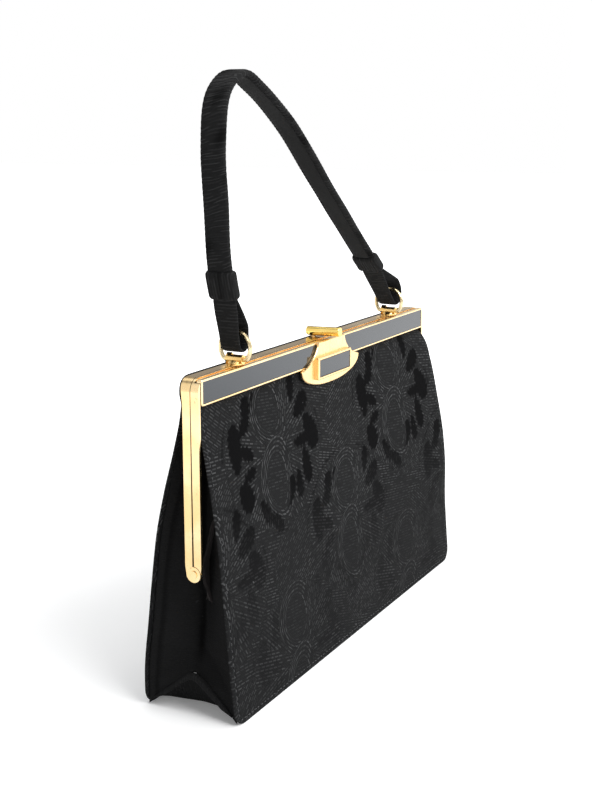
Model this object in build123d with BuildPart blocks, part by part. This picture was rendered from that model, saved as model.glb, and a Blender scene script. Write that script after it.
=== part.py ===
# Framed evening handbag in black brocade, with a gilt frame, black inlays and a short strap handle.
#
# Origin: middle of the bag's footprint, on the floor. +X runs along the bag's width, +Z is up,
# and the front of the bag faces -Y. All sizes are in millimetres.

import math
import os

from build123d import *

# Driving dimensions: frame
frame_top = 160.0            # top of the frame above the floor
bar_length = 250.0           # fascia, end to end
strip_thickness = 1.6        # gilt strip that both frame halves are bent from
arm_gap = 0.6                # fascia's end to the arm beside it
arm_width = 4.15
frame_corner = 6.0           # outer radius where an arm bends into the top bar
parting_y = -0.65            # plane between the two frame halves
parting_gap = 0.3
front_strip_depth = 1.3      # front to back, on the top bar
rear_strip_depth = 5.1
web_height = 12.0            # inner wall of each bar, which holds the cloth, with the bar itself
web_thickness = 0.6
pivot_height = 69.0          # hinge rivets above the floor
tab_radius = 3.75
rivet_radius = 1.25
rivet_head_radius = 1.9
rivet_head_height = 0.5
lap_gap = 0.1                # between the two lapped hinge tabs
running_clearance = 0.05     # radial, pin in hole

# Driving dimensions: fascia, inlays, escutcheon and clasp block
fascia_height = 12.6
fascia_thickness = 2.5
fascia_drop = 0.4            # fascia's top edge below the frame's top
fascia_corner = 1.4
lip_thickness = 0.8          # rib that joins the fascia to the front strip
fascia_front_y = -5.4
bezel_width = 1.0
inlay_thickness = 1.2
inlay_recess = 0.2
inlay_clearance = 0.1
plate_thickness = 1.3
plate_neck_half_width = 15.2
plate_half_width = 32.8
plate_point_radius = 0.7
plate_drop = 10.9            # plate's lowest point below the fascia
plate_overlap = 0.6          # how far the inlays run in under the plate
block_width = 37.8
block_height = 11.6
block_depth = 2.1
block_rim = 1.2
block_rise = 4.0             # block's lower edge above the plate's lowest point

# Driving dimensions: latch lever
lever_radius = 2.45
lever_front_reach = 17.5     # pin to the lever's front face
lever_tilt = 2.0             # degrees, front end up
lever_rise = 0.86            # lever's axis above its pin
lever_slot_front = 4.3       # pin to the slot's front end
pin_radius = 0.6
pin_behind_bar = 1.4         # pin's centre behind the rear bar
pin_height = 1.8             # above the frame's top
lever_tail_radius = 1.6      # lever's rear end round the pin
lug_width = 2.0
lug_radius = 1.4
lug_base_length = 1.6
pin_end_inset = 0.1
lug_clearance = 0.15

# Driving dimensions: handle posts and rings
post_spacing = 174.5         # between the two posts
knuckle_radius = 2.2
knuckle_length = 8.9
knuckle_height = 2.4         # knuckle's axis above the frame's top
post_foot_length = 11.0
post_foot_width = 8.4
post_foot_thickness = 0.5
foot_lift = 0.2              # clear of the front half's bar, which swings away
post_stem_radius = 1.2
post_stem_y = 2.0
nut_radius = 1.6
nut_thickness = 0.8
crest_height = 0.9
ring_wire_radius = 1.1
ring_radius = 8.0            # centre line of the ring's arc
ring_centre_height = 5.2     # arc's centre above the knuckle's axis
ring_corner = 1.5
ring_sides = 12              # faces round the wire

# Driving dimensions: handle
strap_width = 12.6
strap_thickness = 3.2
loop_wall = 1.5
keeper_length = 13.0
keeper_width = 14.8
keeper_thickness = 6.0
keeper_clearance = 0.4
keeper_inset = 8.2           # route's end to the keeper's middle
facing_width = 8.2
facing_thickness = 0.5
facing_gap = 0.05
loop_band_width = 10.6       # strap is gathered narrower where it passes through a ring
loop_band_top = 174.0        # full width again 10 mm above this

# Driving dimensions: cloth
panel_thickness = 1.2
cloth_thickness = 1.0
fold_thickness = 2.0         # gusset, through its crease
lining_thickness = 0.4
lining_front_clearance = 0.65
cloth_clearance = 0.3
clamp_clearance = 0.15       # cloth between fascia and web
rear_panel_drop = 0.2        # rear panel's top edge below the frame's top
front_foot_y = -25.4         # outer face of the front panel at the floor
panel_tuck = 4.6             # front panel's edge hidden behind the fascia
middle_section_x = 35.0      # where the front panel's fullness starts to grow to the right
bottom_corner = 8.0
shoulder_corner = 9.0        # top corners of the front panel
rear_shoulder_corner = 6.0
seam_flange = 1.8            # panel's turned edge beyond the gusset
stitch_inset = 2.4
stitch_channel_width = 0.6
stitch_margin = 4.0          # ornament kept clear of the stitching by this much
relief_depth = 0.3
arch_height = 18.5           # underside of the folded-up bottom
arch_half_width = 22.1
arch_centre_y = 0.4
arch_foot_lift = 0.1
arch_crown_radius = 4.0
lining_end_margin = 2.2      # lining's sides inside the gussets, measured across the bag

# Cross-sections of the body from the floor to the fascia: height, rear panel's outer face,
# half width, depth of the gusset's inward fold, y of its crease, and how far the front panel
# stands forward of a straight lean at its left side, at its middle section and at its right side
stations = [
    (0.0, 26.2, 130.5, 0.6, 0.5, 0.0, 0.0, 0.0),
    (20.0, 26.5, 129.6, 1.2, 1.0, 0.2, 0.4, 1.7),
    (41.0, 24.9, 128.2, 7.5, 2.4, 0.5, 0.9, 4.0),
    (66.0, 23.1, 126.2, 9.3, 3.2, 0.9, 1.6, 8.2),
    (86.0, 20.8, 125.2, 10.8, 3.4, 1.2, 2.2, 9.6),
    (105.0, 16.4, 125.2, 12.2, 3.3, 1.3, 2.4, 8.7),
    (128.0, 10.0, 125.2, 12.7, 2.6, 0.9, 1.3, 6.9),
    (140.0, 7.1, 125.2, 12.9, 2.0, 0.4, 0.5, 4.6),
    (frame_top - fascia_height, 5.9, 125.2, 13.0, 1.8, 0.0, 0.0, 0.0),
]

# The brocade's ornament: petals of half a palmette, then where the palmettes stand.
# Each petal: sideways, up, length, width, and the angle its tip points to
petals = [
    (15.0, 20.0, 16.0, 9.0, 65.0),
    (28.0, 10.0, 18.0, 10.0, 25.0),
    (30.0, -8.0, 16.0, 9.0, -20.0),
    (16.0, -26.0, 16.0, 8.0, -60.0),
]
palmette_repeat = 128.0      # sideways, between palmettes of one row
palmette_rise = 60.0         # up, between one row and the next, set half a repeat aside
top_palmette_height = 116.0
bud_length = 19.0
bud_width = 13.0
bud_offset = 19.0            # buds above and below a palmette's middle

# Handle's centre line: straight runs and their bends, from where the left loop closes to where the
# right one does. Each point is measured sideways from the ring at that end, and up from its top
left_route = [(-7.95, 14.9), (-13.15, 30.3), (-17.75, 101.1), (0.05, 120.4), (45.35, 96.6)]
right_route = [(-23.25, 13.2)]
route_bends = [50.0, 28.5, 16.0, 98.0]
# Loops round the rings: circles that the hollow is drawn round, centre and radius, lowest first
left_loop = [((-0.35, -4.9), 3.4), ((-0.65, 1.0), 3.0)]
right_loop = [((0.25, -3.1), 5.2), ((-2.25, 1.0), 4.2)]
loop_point_radius = 0.3

# Places worked out from the sizes above
fascia_bottom = frame_top - fascia_height
fascia_top = frame_top - fascia_drop
fascia_back_y = fascia_front_y + fascia_thickness
half_bar = bar_length / 2
arm_inner_x = half_bar + arm_gap
arm_outer_x = arm_inner_x + strip_thickness
front_face_y = parting_y - parting_gap / 2
rear_face_y = parting_y + parting_gap / 2
front_strip_front_y = front_face_y - front_strip_depth
rear_strip_back_y = rear_face_y + rear_strip_depth
strip_bottom = frame_top - strip_thickness
web_bottom = frame_top - web_height
web_half_length = half_bar - 2.0
panel_top_y = fascia_back_y + clamp_clearance
panel_reach = stations[0][2] + 0.5
rear_panel_top_y = rear_strip_back_y + panel_thickness
inlay_front_y = fascia_front_y + inlay_recess
inlay_back_y = inlay_front_y + inlay_thickness
plate_front_y = fascia_front_y - plate_thickness
plate_bottom = fascia_bottom - plate_drop
block_bottom = plate_bottom + block_rise
block_centre_z = block_bottom + block_height / 2
block_front_y = plate_front_y - block_depth
knuckle_z = frame_top + knuckle_height
ring_top_z = knuckle_z + ring_centre_height + ring_radius
post_x = post_spacing / 2
pin_y = rear_strip_back_y + pin_behind_bar
pin_z = frame_top + pin_height
sides = {"left": -1, "right": 1}
strap_route = [(across - post_x, ring_top_z + up) for across, up in left_route]
strap_route += [(across + post_x, ring_top_z + up) for across, up in right_route]

os.makedirs("parts", exist_ok=True)


def write(piece, name):
    """Label a finished piece and write it to its own file."""
    piece.part.label = name
    export_step(piece.part, f"parts/{name}.step")


def y_plane(y):
    """Drawing plane facing the bag's front at depth y: X to the right, Z up."""
    return Plane(origin=(0, y, 0), x_dir=(1, 0, 0), z_dir=(0, -1, 0))


def x_plane(x):
    """Drawing plane facing +X: first axis is the bag's Y, second is Z."""
    return Plane(origin=(x, 0, 0), x_dir=(0, 1, 0), z_dir=(1, 0, 0))


def lean_y(height):
    """Outer face of the front panel where it is not full."""
    return front_foot_y + (panel_top_y - front_foot_y) * height / fascia_bottom


def fullness_at(station, x):
    """Fullness of the front panel at one height, between the three places where it is given."""
    left, middle, right = station[5:8]
    if x < middle_section_x:
        share = (x + panel_reach) / (middle_section_x + panel_reach)
        return left + (middle - left) * share
    share = (x - middle_section_x) / (panel_reach - middle_section_x)
    return middle + (right - middle) * share


def front_y(station, x):
    """Outer face of the front panel at a station."""
    return lean_y(station[0]) - fullness_at(station, x)


def body_outline(top, corner, inset=0.0):
    """Half of the body seen from the front, moved inward: foot, lower corner, side and top corner."""
    foot_width = stations[0][2]
    side_points = [(station[2] - inset, station[0]) for station in stations[1:5]]
    side_x = side_points[-1][0]
    lower = Line((0, inset), (foot_width - bottom_corner, inset))
    bend = TangentArc(lower @ 1, (foot_width - inset, bottom_corner), tangent=(1, 0))
    side = Spline(bend @ 1, *side_points, tangents=((0, 1), (0, 1)))
    upper = Line(side @ 1, (side_x, top - corner))
    shoulder = TangentArc(upper @ 1, (side_x + inset - corner, top - inset), tangent=(0, 1))
    Line(shoulder @ 1, (0, top - inset))


def frame_outline(inset):
    """Half of the frame's outer edge, seen from the front, moved inward by inset."""
    x = arm_outer_x - inset
    top = frame_top - inset
    corner = frame_corner - inset
    foot_z = pivot_height - 2 * tab_radius
    middle = Line((0, top), (x - corner, top))
    bend = TangentArc(middle @ 1, (x, top - corner), tangent=(1, 0))
    outer = Line(bend @ 1, (x, foot_z))
    Line(outer @ 1, (0, foot_z))


# Both frame halves are the same strip bent into a U, seen from the front
with BuildSketch(y_plane(0)) as frame_loop:
    with BuildLine():
        frame_outline(0)
        mirror(about=Plane.YZ)
    make_face()
    with BuildLine():
        frame_outline(strip_thickness)
        mirror(about=Plane.YZ)
    make_face(mode=Mode.SUBTRACT)

lap_x = arm_inner_x + strip_thickness / 2


def arm_side_outline(near_y, far_y, bar_y):
    """One half of the frame from the side: bar and arm, down to the hinge."""
    outward = math.copysign(1, far_y - near_y)
    Polyline(
        (near_y, frame_top),
        (bar_y, frame_top),
        (bar_y, strip_bottom),
        (far_y, web_bottom),
        (far_y, pivot_height + tab_radius),
        (parting_y + outward * tab_radius, pivot_height),
        (parting_y, pivot_height),
        (near_y + outward * parting_gap, pivot_height + tab_radius),
        close=True,
    )


# Rear half of the frame: bar, two arms, and the wall inside that the rear cloth is clamped to
with BuildPart() as rear_frame:
    with BuildSketch(y_plane(0)):
        add(frame_loop.sketch_local)
    extrude(amount=2 * rear_strip_depth, both=True)
    with BuildSketch(x_plane(0)):
        with BuildLine():
            arm_side_outline(rear_face_y, rear_face_y + arm_width, rear_strip_back_y)
        make_face()
        with Locations((parting_y, pivot_height)):
            Circle(tab_radius)
    extrude(amount=arm_outer_x, both=True, mode=Mode.INTERSECT)
    # the front half's tab turns inside this half's tab
    with BuildSketch(x_plane(0)):
        with Locations((parting_y, pivot_height)):
            Circle(tab_radius + parting_gap)
    extrude(amount=lap_x + lap_gap / 2, both=True, mode=Mode.SUBTRACT)
    with BuildSketch(x_plane(0)):
        with Locations((parting_y, pivot_height)):
            Circle(rivet_radius + running_clearance)
    extrude(amount=arm_outer_x, both=True, mode=Mode.SUBTRACT)
    with BuildSketch(Plane.XY.offset(web_bottom)):
        with Locations((0, rear_strip_back_y - web_thickness / 2)):
            Rectangle(2 * web_half_length, web_thickness)
    extrude(amount=web_height - strip_thickness / 2)
    # holes for the stems of the handle posts
    with BuildSketch(Plane.XY.offset(frame_top)):
        with Locations((-post_x, post_stem_y), (post_x, post_stem_y)):
            Circle(post_stem_radius + running_clearance)
    extrude(amount=-strip_thickness, mode=Mode.SUBTRACT)
write(rear_frame, "rear_frame")

# Front half of the frame: its bar is narrow, because the fascia stands in front of it
with BuildPart() as front_frame:
    with BuildSketch(y_plane(0)):
        add(frame_loop.sketch_local)
    extrude(amount=2 * rear_strip_depth, both=True)
    with BuildSketch(x_plane(0)):
        with BuildLine():
            arm_side_outline(front_face_y, front_face_y - arm_width, front_face_y - arm_width)
        make_face()
        with Locations((parting_y, pivot_height)):
            Circle(tab_radius)
    extrude(amount=arm_outer_x, both=True, mode=Mode.INTERSECT)
    with BuildSketch(Plane.XY.offset(frame_top)):
        with Locations((0, front_strip_front_y)):
            Rectangle(2 * arm_inner_x, 2 * arm_width, align=(Align.CENTER, Align.MAX))
    extrude(amount=-web_height, mode=Mode.SUBTRACT)
    with BuildSketch(x_plane(0)):
        with Locations((parting_y, pivot_height)):
            Circle(rivet_radius + running_clearance)
    extrude(amount=arm_outer_x, both=True, mode=Mode.SUBTRACT)
    # room for the rear half's tabs, outside this half's
    for side in sides.values():
        with BuildSketch(x_plane(side * (lap_x - lap_gap / 2))):
            with Locations((parting_y, pivot_height)):
                Circle(tab_radius + parting_gap)
        extrude(amount=side * strip_thickness, mode=Mode.SUBTRACT)
    with BuildSketch(Plane.XY.offset(web_bottom)):
        with Locations((0, front_face_y - web_thickness / 2)):
            Rectangle(2 * web_half_length, web_thickness)
    extrude(amount=web_height - strip_thickness / 2)
write(front_frame, "front_frame")

# Rivets through the lapped tabs, headed on both sides
with BuildPart() as hinge_rivets:
    for side in sides.values():
        with BuildSketch(x_plane(side * (arm_inner_x - rivet_head_height))):
            with Locations((parting_y, pivot_height)):
                Circle(rivet_head_radius)
        extrude(amount=side * rivet_head_height)
        with BuildSketch(x_plane(side * arm_inner_x)):
            with Locations((parting_y, pivot_height)):
                Circle(rivet_radius)
        extrude(amount=side * strip_thickness)
        with BuildSketch(x_plane(side * arm_outer_x)):
            with Locations((parting_y, pivot_height)):
                Circle(rivet_head_radius)
        extrude(amount=side * rivet_head_height)
write(hinge_rivets, "hinge_rivets")

def plate_outline(inset=0.0):
    """Half of the escutcheon: an oval drop below, waisted up to a neck as wide as its top."""
    half = plate_half_width - inset
    oval = Spline(
        (0, plate_bottom + inset),
        (half * 0.66, plate_bottom + inset + 2.2),
        (half * 0.93, plate_bottom + inset + 6.0),
        (half, fascia_bottom - 0.6),
        tangents=((1, 0), (0.1, 1)),
    )
    waist = Spline(
        oval @ 1,
        (plate_neck_half_width - inset + 6.0, fascia_bottom + 4.1),
        (plate_neck_half_width - inset, fascia_top),
        tangents=((-1, 0.22), (-0.25, 1)),
    )
    Line(waist @ 1, (0, fascia_top))


def inlay_area(clearance):
    """The fascia's face inside its bezel, less the part that the escutcheon covers."""
    with BuildSketch() as area:
        with Locations((0, (fascia_bottom + fascia_top) / 2)):
            RectangleRounded(
                bar_length - 2 * (bezel_width + clearance),
                fascia_top - fascia_bottom - 2 * (bezel_width + clearance),
                bezel_width / 2,
            )
        with BuildLine():
            plate_outline(plate_overlap - clearance)
            mirror(about=Plane.YZ)
        make_face(mode=Mode.SUBTRACT)
    return area.sketch_local


# Fascia: long bezel bar, joined to the front strip by a rib along its back
with BuildPart() as fascia:
    with BuildSketch(y_plane(fascia_back_y)):
        with Locations((0, (fascia_bottom + fascia_top) / 2)):
            RectangleRounded(bar_length, fascia_top - fascia_bottom, fascia_corner)
    extrude(amount=fascia_thickness)
    fillet(fascia.faces().sort_by(Axis.Y)[0].edges(), bezel_width / 2)
    with BuildSketch(y_plane(fascia_front_y)):
        add(inlay_area(0))
    extrude(amount=-(inlay_recess + inlay_thickness), mode=Mode.SUBTRACT)
    with BuildSketch(y_plane(front_strip_front_y)):
        with Locations((0, strip_bottom)):
            Rectangle(bar_length - 2 * fascia_corner, lip_thickness, align=(Align.CENTER, Align.MIN))
    extrude(amount=front_strip_front_y - fascia_back_y + fascia_thickness / 4)
write(fascia, "fascia")

# Inlays: one strip on each side of the escutcheon
with BuildPart() as inlays:
    with BuildSketch(y_plane(inlay_back_y)):
        add(inlay_area(inlay_clearance))
    extrude(amount=inlay_thickness)
for name, side in sides.items():
    with BuildPart() as inlay:
        add(inlays.solids().sort_by(Axis.X)[0 if side < 0 else -1])
    write(inlay, f"inlay_{name}")

# Escutcheon: raised plate with bevelled front edges
with BuildPart() as escutcheon:
    with BuildSketch(y_plane(fascia_front_y)):
        with BuildLine():
            plate_outline()
            mirror(about=Plane.YZ)
        make_face()
    extrude(amount=plate_thickness)
    fillet(escutcheon.edges().filter_by(Axis.Y).group_by(lambda edge: abs(edge.center().X))[-1], plate_point_radius)
    chamfer(escutcheon.faces().sort_by(Axis.Y)[0].edges(), 0.4)
write(escutcheon, "escutcheon")

# Clasp block on the escutcheon, hollowed for its own inlay
with BuildPart() as clasp_block:
    with BuildSketch(y_plane(plate_front_y)):
        with Locations((0, block_centre_z)):
            RectangleRounded(block_width, block_height, 0.5)
    extrude(amount=block_depth)
    chamfer(clasp_block.faces().sort_by(Axis.Y)[0].edges(), 0.35)
    with BuildSketch(y_plane(block_front_y)):
        with Locations((0, block_centre_z)):
            Rectangle(block_width - 2 * block_rim, block_height - 2 * block_rim)
    extrude(amount=-(inlay_thickness + inlay_recess), mode=Mode.SUBTRACT)
write(clasp_block, "clasp_block")

with BuildPart() as clasp_inlay:
    with BuildSketch(y_plane(block_front_y + inlay_recess)):
        with Locations((0, block_centre_z)):
            Rectangle(
                block_width - 2 * (block_rim + inlay_clearance),
                block_height - 2 * (block_rim + inlay_clearance),
            )
    extrude(amount=-inlay_thickness)
    chamfer(clasp_inlay.faces().sort_by(Axis.Y)[0].edges(), 0.2)
write(clasp_inlay, "clasp_inlay")

# Latch lug: an ear that stands on the rear bar and holds the lever's pin just behind it
with BuildPart() as latch_lug:
    with BuildSketch(x_plane(-lug_width / 2)):
        with Locations((pin_y, pin_z)):
            Circle(lug_radius)
        with Locations((rear_strip_back_y - lug_base_length / 2, frame_top)):
            Rectangle(lug_base_length, 0.02, align=(Align.CENTER, Align.MIN))
        make_hull()
        with Locations((pin_y, pin_z)):
            Circle(pin_radius + running_clearance, mode=Mode.SUBTRACT)
    extrude(amount=lug_width)
write(latch_lug, "latch_lug")

lever_half_at_pin = math.sqrt(lever_radius**2 - lever_rise**2)
with BuildPart() as latch_pin:
    with BuildSketch(x_plane(-lever_half_at_pin + pin_end_inset)):
        with Locations((pin_y, pin_z)):
            Circle(pin_radius)
    extrude(amount=2 * (lever_half_at_pin - pin_end_inset))
write(latch_pin, "latch_pin")

# Latch lever: a short polished cylinder, slotted from below at its rear end for the lug
lever_plane = Plane(
    origin=(0, pin_y, pin_z),
    x_dir=(1, 0, 0),
    z_dir=(0, -math.cos(math.radians(lever_tilt)), math.sin(math.radians(lever_tilt))),
)
with BuildPart() as latch_lever:
    with BuildSketch(lever_plane):
        with Locations((0, lever_rise)):
            Circle(lever_radius)
    extrude(amount=lever_front_reach)
    with BuildSketch(lever_plane):
        with Locations((0, lever_rise)):
            Circle(lever_radius)
    extrude(amount=-lever_tail_radius)
    chamfer(latch_lever.faces().sort_by(Axis.Y)[0].edges(), 0.25)
    # lower corner at the tail turns about the pin
    with BuildSketch(x_plane(0)):
        with Locations((pin_y, pin_z)):
            Rectangle(lever_tail_radius * 2, lever_tail_radius * 2, align=(Align.MIN, Align.MAX))
            Circle(lever_tail_radius, mode=Mode.SUBTRACT)
    extrude(amount=lever_radius, both=True, mode=Mode.SUBTRACT)
    with BuildSketch(x_plane(0)):
        with Locations((pin_y + 2 * lever_tail_radius, pin_z + lug_radius + lug_clearance)):
            Rectangle(
                lever_slot_front + 2 * lever_tail_radius,
                4 * lever_radius,
                align=(Align.MAX, Align.MAX),
            )
    extrude(amount=lug_width / 2 + lug_clearance, both=True, mode=Mode.SUBTRACT)
    with BuildSketch(x_plane(0)):
        with Locations((pin_y, pin_z)):
            Circle(pin_radius + running_clearance)
    extrude(amount=lever_radius, both=True, mode=Mode.SUBTRACT)
write(latch_lever, "latch_lever")

# Handle posts: oval foot, flared neck, and a knuckle that the ring turns in
for name, side in sides.items():
    with BuildPart() as post:
        with BuildSketch(Plane.XY.offset(frame_top)):
            with Locations((side * post_x, 0)):
                Ellipse(post_foot_length / 2, post_foot_width / 2)
        extrude(amount=post_foot_thickness + foot_lift)
        with BuildSketch(Plane.XY.offset(frame_top)):
            with Locations((side * post_x, rear_face_y + foot_lift)):
                Rectangle(post_foot_length, post_foot_width, align=(Align.CENTER, Align.MAX))
        extrude(amount=foot_lift, mode=Mode.SUBTRACT)
        with BuildSketch(Plane.XY.offset(frame_top + foot_lift)):
            with Locations((side * post_x, 0)):
                Ellipse(post_foot_length * 0.38, post_foot_width * 0.42)
        with BuildSketch(Plane.XY.offset(knuckle_z)):
            with Locations((side * post_x, 0)):
                Ellipse(knuckle_radius * 0.85, knuckle_length * 0.44)
        loft()
        with BuildSketch(y_plane(-knuckle_length / 2)):
            with Locations((side * post_x, knuckle_z)):
                Circle(knuckle_radius)
        extrude(amount=-knuckle_length)
        # crest over the knuckle's rear third
        with BuildSketch(y_plane(knuckle_length / 6)):
            with BuildLine():
                Polyline(
                    (side * post_x - knuckle_radius * 0.8, knuckle_z + knuckle_radius * 0.5),
                    (side * post_x, knuckle_z + knuckle_radius + crest_height),
                    (side * post_x + knuckle_radius * 0.8, knuckle_z + knuckle_radius * 0.5),
                    close=True,
                )
            make_face()
        extrude(amount=-knuckle_length / 3)
        with BuildSketch(y_plane(-knuckle_length)):
            with Locations((side * post_x, knuckle_z)):
                Circle(ring_wire_radius + running_clearance)
        extrude(amount=-2 * knuckle_length, mode=Mode.SUBTRACT)
        with BuildSketch(Plane.XY.offset(frame_top)):
            with Locations((side * post_x, post_stem_y)):
                Circle(post_stem_radius)
        extrude(amount=-(strip_thickness + nut_thickness))
    write(post, f"handle_post_{name}")

# Round nuts on the stems, under the bar
with BuildPart() as post_nuts:
    with BuildSketch(Plane.XY.offset(strip_bottom)):
        with Locations((-post_x, post_stem_y), (post_x, post_stem_y)):
            Circle(nut_radius)
            Circle(post_stem_radius + running_clearance, mode=Mode.SUBTRACT)
    extrude(amount=-nut_thickness)
write(post_nuts, "post_nuts")

# D-rings: a wire with a straight side in the knuckle, two small bends and one large arc
bend_y = math.sqrt((ring_radius - ring_corner) ** 2 - (ring_centre_height - ring_corner) ** 2)
reach = ring_radius / (ring_radius - ring_corner)
arc_end_y = bend_y * reach
arc_end_z = ring_centre_height + (ring_corner - ring_centre_height) * reach
arc_start_angle = math.degrees(math.atan2(arc_end_z - ring_centre_height, arc_end_y))
for name, side in sides.items():
    ring_x = side * post_x
    with BuildPart() as ring:
        with BuildSketch(y_plane(-bend_y)):
            with Locations((ring_x, knuckle_z)):
                RegularPolygon(ring_wire_radius, ring_sides)
        extrude(amount=-2 * bend_y)
        for end in (-1, 1):
            with BuildSketch(y_plane(end * bend_y)):
                with Locations((ring_x, knuckle_z)):
                    RegularPolygon(ring_wire_radius, ring_sides)
            bend_axis = Axis((ring_x, end * bend_y, knuckle_z + ring_corner), (end, 0, 0))
            revolve(axis=bend_axis, revolution_arc=90 + arc_start_angle)
        bow_end = Plane(
            origin=(ring_x, arc_end_y, knuckle_z + arc_end_z),
            x_dir=(1, 0, 0),
            z_dir=(0, ring_centre_height - arc_end_z, arc_end_y),
        )
        with BuildSketch(bow_end):
            RegularPolygon(ring_wire_radius, ring_sides)
        bow_axis = Axis((ring_x, 0, knuckle_z + ring_centre_height), (1, 0, 0))
        revolve(axis=bow_axis, revolution_arc=180 - 2 * arc_start_angle)
    write(ring, f"ring_{name}")


# Sketches that the cloth pieces share: the body from the front, and the arch from the side
with BuildSketch(y_plane(0)) as front_outline:
    with BuildLine():
        body_outline(fascia_bottom + panel_tuck, shoulder_corner)
        mirror(about=Plane.YZ)
    make_face()

with BuildSketch(y_plane(0)) as rear_outline:
    with BuildLine():
        body_outline(frame_top - rear_panel_drop, rear_shoulder_corner)
        mirror(about=Plane.YZ)
    make_face()

arch_slope = math.atan2(arch_height, arch_half_width)
arch_apex = arch_height + arch_crown_radius * (1 / math.cos(arch_slope) - 1)


def arch_area(raised):
    """The hollow under the folded-up bottom, seen from the side, grown outward by raised."""
    half = arch_half_width + raised / math.sin(arch_slope)
    with BuildSketch() as area:
        with BuildLine():
            Polyline(
                (arch_centre_y - half, 0),
                (arch_centre_y, arch_apex + raised / math.cos(arch_slope)),
                (arch_centre_y + half, 0),
                close=True,
            )
        make_face()
        fillet(area.vertices().sort_by(Axis.Y)[-1], arch_crown_radius + raised)
    return area.sketch_local


def panel_profile(x, near, far):
    """Section of the front panel at x, between two depths behind its outer face."""
    outer = [(front_y(station, x) + near, station[0]) for station in stations]
    inner = [(front_y(station, x) + far, station[0]) for station in stations]
    front = Spline(*outer)
    tuck = Line(front @ 1, (panel_top_y + near, fascia_bottom + panel_tuck))
    top = Line(tuck @ 1, (panel_top_y + far, fascia_bottom + panel_tuck))
    down = Line(top @ 1, (panel_top_y + far, fascia_bottom))
    back = Polyline(*reversed(inner))
    Line(back @ 1, front @ 0)


# One petal for each size, lying along its first axis with its foot at the origin
petal_shapes = []
for _, _, length, width, _ in petals:
    with BuildSketch() as petal:
        with BuildLine():
            ThreePointArc((0, 0), (length / 2, width / 2), (length, 0))
            ThreePointArc((length, 0), (length / 2, -width / 2), (0, 0))
        make_face()
    petal_shapes.append(petal.sketch_local)

palmette_centres = []
for row in range(3):
    height = top_palmette_height - row * palmette_rise
    shift = palmette_repeat / 2 if row % 2 == 0 else 0
    for column in (-1, 0, 1):
        palmette_centres.append((column * palmette_repeat + shift, height))

# All the brocade's dark leaves and buds on one drawing, kept clear of the panel's seams
with BuildSketch(y_plane(0)) as ornament:
    for centre_x, centre_z in palmette_centres:
        for (across, up, _, _, angle), shape in zip(petals, petal_shapes):
            with Locations((centre_x + across, centre_z + up)):
                add(shape, rotation=angle)
            with Locations((centre_x - across, centre_z + up)):
                add(shape, rotation=180 - angle)
        with Locations((centre_x, centre_z + bud_offset), (centre_x, centre_z - bud_offset)):
            Ellipse(bud_width / 2, bud_length / 2)
    with BuildLine():
        body_outline(fascia_bottom, bottom_corner, stitch_inset + stitch_margin)
        mirror(about=Plane.YZ)
    make_face(mode=Mode.INTERSECT)

# Line of stitching along the panel's edge
with BuildSketch(y_plane(0)) as stitch_line:
    with BuildLine():
        body_outline(fascia_bottom + panel_tuck, shoulder_corner, stitch_inset)
        mirror(about=Plane.YZ)
    make_face()
    with BuildLine():
        body_outline(fascia_bottom + panel_tuck, shoulder_corner, stitch_inset + stitch_channel_width)
        mirror(about=Plane.YZ)
    make_face(mode=Mode.SUBTRACT)
    with Locations((0, fascia_bottom - stitch_inset)):
        Rectangle(2 * panel_reach, 2 * shoulder_corner, align=(Align.CENTER, Align.MIN), mode=Mode.SUBTRACT)

# Shallow layer over the panel's face, which the ornament is pressed into
with BuildPart() as pressed:
    for x in (-panel_reach, middle_section_x, panel_reach):
        with BuildSketch(x_plane(x)):
            with BuildLine():
                panel_profile(x, -1, relief_depth)
            make_face()
    loft(ruled=True)
    with BuildSketch(y_plane(0)):
        add(ornament.sketch_local)
        add(stitch_line.sketch_local)
    extrude(amount=2 * panel_reach, both=True, mode=Mode.INTERSECT)

# Front panel: cloth that leans from the floor to the fascia, fuller towards its right side
with BuildPart() as front_panel:
    for x in (-panel_reach, middle_section_x, panel_reach):
        with BuildSketch(x_plane(x)):
            with BuildLine():
                panel_profile(x, 0, panel_thickness)
            make_face()
    loft(ruled=True)
    with BuildSketch(y_plane(0)):
        add(front_outline.sketch_local)
    extrude(amount=2 * panel_reach, both=True, mode=Mode.INTERSECT)
    add(pressed.part, mode=Mode.SUBTRACT)
write(front_panel, "front_panel")

# Rear panel: the same cloth, curving in to the rear bar and up behind it
with BuildPart() as rear_panel:
    with BuildSketch(x_plane(0)):
        with BuildLine():
            outer = Spline(*[(station[1], station[0]) for station in stations])
            rise = Line(outer @ 1, (rear_panel_top_y, fascia_bottom + panel_tuck))
            edge = Line(rise @ 1, (rear_panel_top_y, frame_top - rear_panel_drop))
            top = Line(edge @ 1, (rear_panel_top_y - panel_thickness, frame_top - rear_panel_drop))
            back = Line(top @ 1, (rear_panel_top_y - panel_thickness, fascia_bottom + panel_tuck))
            last = Line(back @ 1, (stations[-1][1] - panel_thickness, fascia_bottom))
            inner = Polyline(*[(station[1] - panel_thickness, station[0]) for station in reversed(stations)])
            Line(inner @ 1, outer @ 0)
        make_face()
    extrude(amount=panel_reach, both=True)
    with BuildSketch(y_plane(0)):
        add(rear_outline.sketch_local)
    extrude(amount=2 * panel_reach, both=True, mode=Mode.INTERSECT)
write(rear_panel, "rear_panel")

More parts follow.
